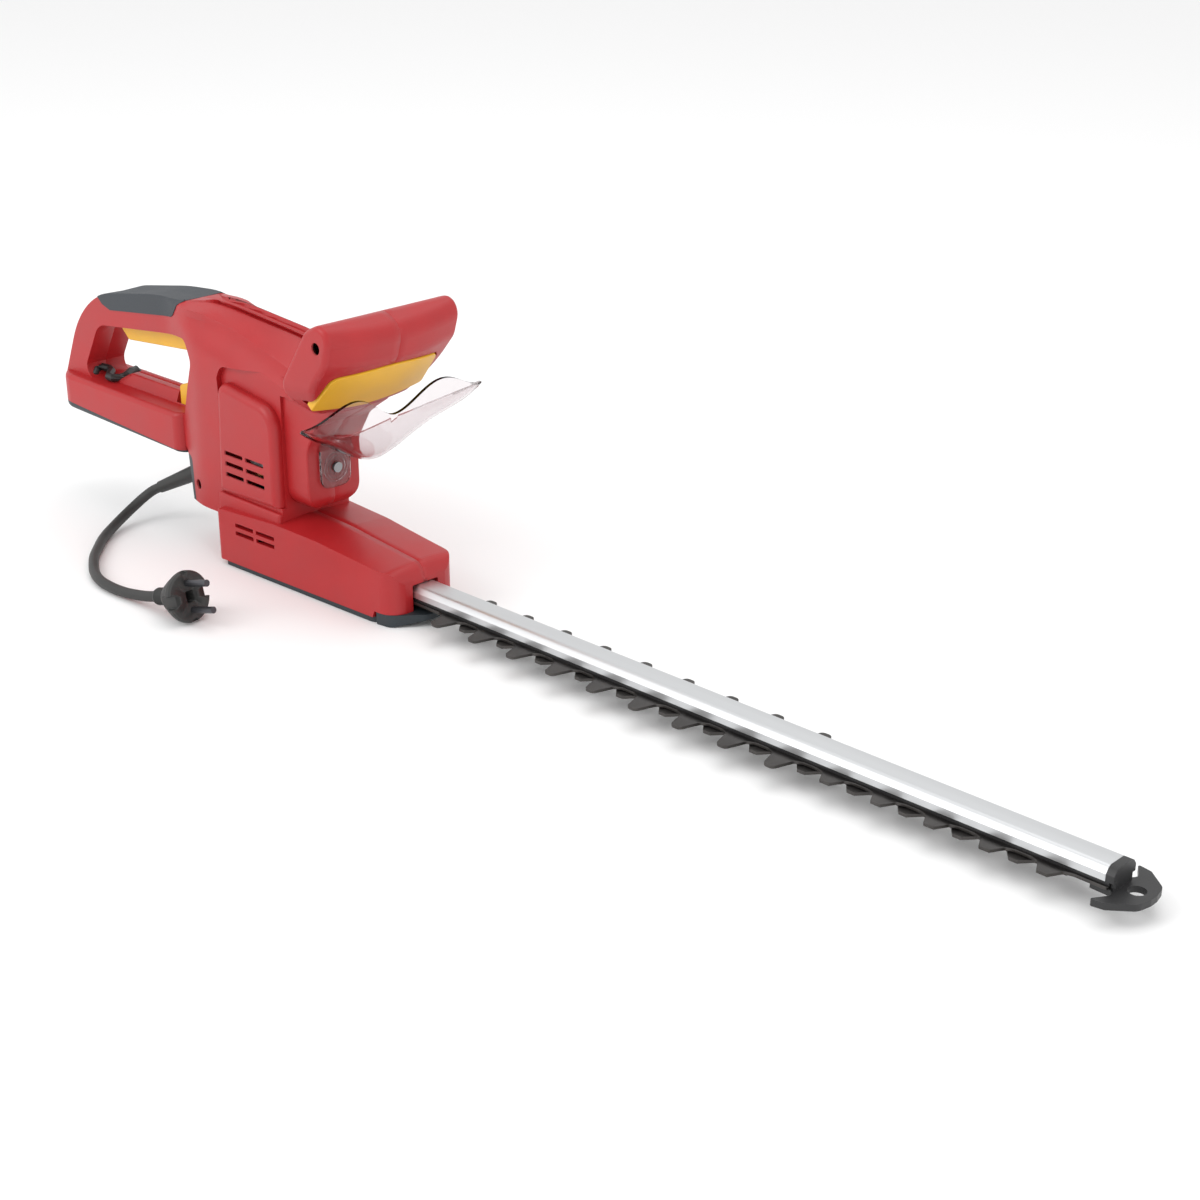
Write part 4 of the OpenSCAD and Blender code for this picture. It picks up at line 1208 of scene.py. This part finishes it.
@dataclass
class Guard:
    """Clear guard in front of the fingers, with its foot plate.

    Attributes:
        half: Half width.
        thick: Thickness of the sheet.
    """

    half: float = 79.0
    thick: float = 2.2

    def build(self) -> None:
        """Makes the sheet and its foot, and gives its rim faces a darker clear finish as painted shade."""
        across, down = 56, 14
        mesh = bmesh.new()
        bmesh.ops.create_grid(mesh, x_segments=across, y_segments=down, size=1.0)
        for vert in mesh.verts:
            vert.co = self._point(vert.co.x * 0.985, (vert.co.y + 1) / 2) * MM
        bmesh.ops.recalc_face_normals(mesh, faces=mesh.faces)
        sheet = make_object(mesh, "hand_guard_sheet", 60)
        wall = sheet.modifiers.new("wall", "SOLIDIFY")
        wall.thickness = self.thick * MM
        wall.offset = 0
        settle(sheet)
        mesh = bmesh.new()
        mesh.from_mesh(sheet.data)
        round_edges(mesh, 0.7, 3, 50)
        mesh.to_mesh(sheet.data)
        mesh.free()
        carve(sheet, self._foot(), "UNION")
        carve(sheet, pin((50, 0, 88), (1, 0, 0), 2.2, 20))
        mesh = bmesh.new()
        mesh.from_mesh(sheet.data)
        for radius in (5.5, 8.0, 10.5):
            ring = bmesh.ops.create_circle(mesh, segments=12, radius=0.45 * MM, matrix=Matrix.Translation(
                (60.3 * MM, radius * MM, 88 * MM)) @ Matrix.Rotation(math.radians(90), 4, "X")
                @ Matrix.Rotation(math.radians(90), 4, "X"))["verts"]
            edges = [e for e in mesh.edges if e.verts[0] in ring and e.verts[1] in ring]
            bmesh.ops.spin(mesh, geom=ring + edges, cent=(60.3 * MM, 0, 88 * MM), axis=(1, 0, 0),
                           angle=math.tau, steps=40, use_merge=True)
        mesh.to_mesh(sheet.data)
        mesh.free()
        sheet.data.polygons.foreach_set("use_smooth", [True] * len(sheet.data.polygons))
        sheet.data.set_sharp_from_angle(angle=math.radians(45))
        dress(sheet, ["hand_guard"])
        # The rim's faces get the darker clear finish: painted shade standing in for the dark edges of the
        # clear sheet.
        sheet.data.materials.append(FINISHES["clear_rim_painted_shade"].material())
        for face in sheet.data.polygons:
            if all(self._at_edge(sheet.data.vertices[i].co / MM) for i in face.vertices):
                face.material_index = len(sheet.data.materials) - 1

    def _at_edge(self, at: Vector) -> bool:
        """Says whether a point is on the guard's rim, where the painted shade goes."""
        u = at.y / self.half
        nearest = min((self._point(u, v) - at).length for v in (0.0, 1.0))
        return nearest < self.thick and at.z > 104

    def _foot(self) -> bmesh.types.BMesh:
        """Makes the plate that is screwed to the column."""
        mesh = block((57.6, -13, 73), (60.3, 13, 106.5))
        round_edges(mesh, 8.0, 6, 60, lambda m: abs(m.y) > 12 and m.z < 75 and 58 < m.x < 59)
        round_edges(mesh, 0.8, 3, 60)
        return mesh

    def _point(self, u: float, v: float) -> Vector:
        """Gives a point of the sheet.

        Args:
            u: From -1 at the right tip to 1 at the left one.
            v: From 0 at the rear edge to 1 at the front rim.

        Returns:
            The point in millimetres.
        """
        far = abs(u)
        rear = Vector((60 + 66 * far ** 1.3, self.half * u, 105 + 42 * far ** 1.2))
        rim = Vector((125 + 6 * math.sin(math.pi * far), self.half * u,
                      141 + 15 * math.sin(math.pi * far ** 0.9) ** 2 + 6 * far))
        sag = (1 - u * u) * math.sin(math.pi * v)
        return rear.lerp(rim, v) + Vector((12 * sag, 0, -17 * sag))


@dataclass
class Plug:
    """Moulded contour plug with its grommet, grooves and dark pins.

    Attributes:
        place: Start of the plug where the cord enters it.
        turn: Degrees round Z from +X.
        lift: Degrees that its nose points up.
        radius: Radius of the flange.
        length: Length of the body.
    """

    place: tuple[float, float, float] = (8.0, -119.5, 10.5)
    turn: float = 7.0
    lift: float = 14.0
    radius: float = 18.0
    length: float = 34.0

    def build(self) -> bpy.types.Object:
        """Makes the plug's body."""
        low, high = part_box("plug_body")
        LOG.info("plug spans %s to %s", low, high)
        mesh = bmesh.new()
        profile = ((0.1, 0.2), (5.6, 0.2), (6.2, 2), (5.0, 3.4), (6.2, 4.8), (5.0, 6.4), (6.3, 8),
                   (5.3, 9.6), (7.6, 12), (11, 17), (14.4, 23), (15.2, 27), (17.4, 28.6),
                   (self.radius, 30), (self.radius, self.length - 1.4),
                   (self.radius - 1.2, self.length), (0.1, self.length))
        verts = [mesh.verts.new((r * MM, 0, h * MM)) for r, h in profile]
        edges = [mesh.edges.new(pair) for pair in zip(verts, verts[1:])]
        bmesh.ops.spin(mesh, geom=verts + edges, cent=(0, 0, 0), axis=(0, 0, 1), angle=math.tau,
                       steps=64, use_merge=True)
        bmesh.ops.holes_fill(mesh, edges=mesh.edges, sides=80)
        bmesh.ops.recalc_face_normals(mesh, faces=mesh.faces)
        body = make_object(mesh, "plug_moulding", 35)
        carve(body, blocks([((-4.2, -3.4, 20), (4.2, 3.4, 40)), ((-4.5, 12.5, 17), (4.5, 30, 40)),
                            ((-4.5, -30, 17), (4.5, -12.5, 40)), ((-30, -2.6, 31), (-15.5, 2.6, 40)),
                            ((15.5, -2.6, 31), (30, 2.6, 40))], 0.8))
        body.data.transform(Matrix.Translation(Vector(self.place) * MM)
                            @ Matrix.Rotation(math.radians(self.turn), 4, "Z")
                            @ Matrix.Rotation(math.radians(-self.lift), 4, "Y")
                            @ Matrix.Rotation(math.radians(90), 4, "Y"))
        return dress(body, ["plug_body"])


# ---- Softened copies -------------------------------------------------------


@dataclass(frozen=True)
class Softened:
    """A piece made from a CAD node's own shape with its edges rounded.

    Attributes:
        node: CAD node.
        width: Rounding in millimetres.
        segments: Faces across each rounding.
        angle: Degrees from which an edge is rounded.
    """

    node: str
    width: float
    segments: int = 3
    angle: float = 32.0

    def build(self) -> bpy.types.Object:
        """Makes the piece and puts it in place of its node.

        Returns:
            The piece.
        """
        mesh = copy_of(self.node)
        round_edges(mesh, self.width, self.segments, self.angle)
        return dress(make_object(mesh, f"{self.node}_soft"), [self.node])


SOFTENED: tuple[Softened, ...] = (
    Softened("base_plate", 0.8), 
    Softened("trigger", 1.2), Softened("lock_slider", 1.2), 
    Softened("tip_protector", 0.6), Softened("guide_rail", 0.3), Softened("comb", 0.25, 2),
    Softened("cutter", 0.25, 2),
)


def paint_rest() -> None:
    """Gives each CAD node that still shows the finish of its slot."""
    for name, node in frame["nodes"].items():
        if node.hide_render:
            continue
        node.data.materials.clear()
        finish = "pin_metal" if name == "plug_pins" else SLOTS[name]
        node.data.materials.append(FINISHES[finish].material())
        LOG.info("%s keeps its CAD shape in %s", name, SLOTS[name])


def main() -> None:
    """Builds the studio and the trimmer's pieces in order."""
    logging.basicConfig(level=logging.INFO, format="%(name)s: %(message)s")
    Studio().build()
    cord = PowerCord()
    flex = cord.build()
    Housing().build()
    SideCovers().build()
    FrontHandle().build()
    Guard().build()
    plug = Plug().build()
    for piece in SOFTENED:
        piece.build()
    paint_rest()
    cord.declare()


if __name__ == "__main__":
    main()
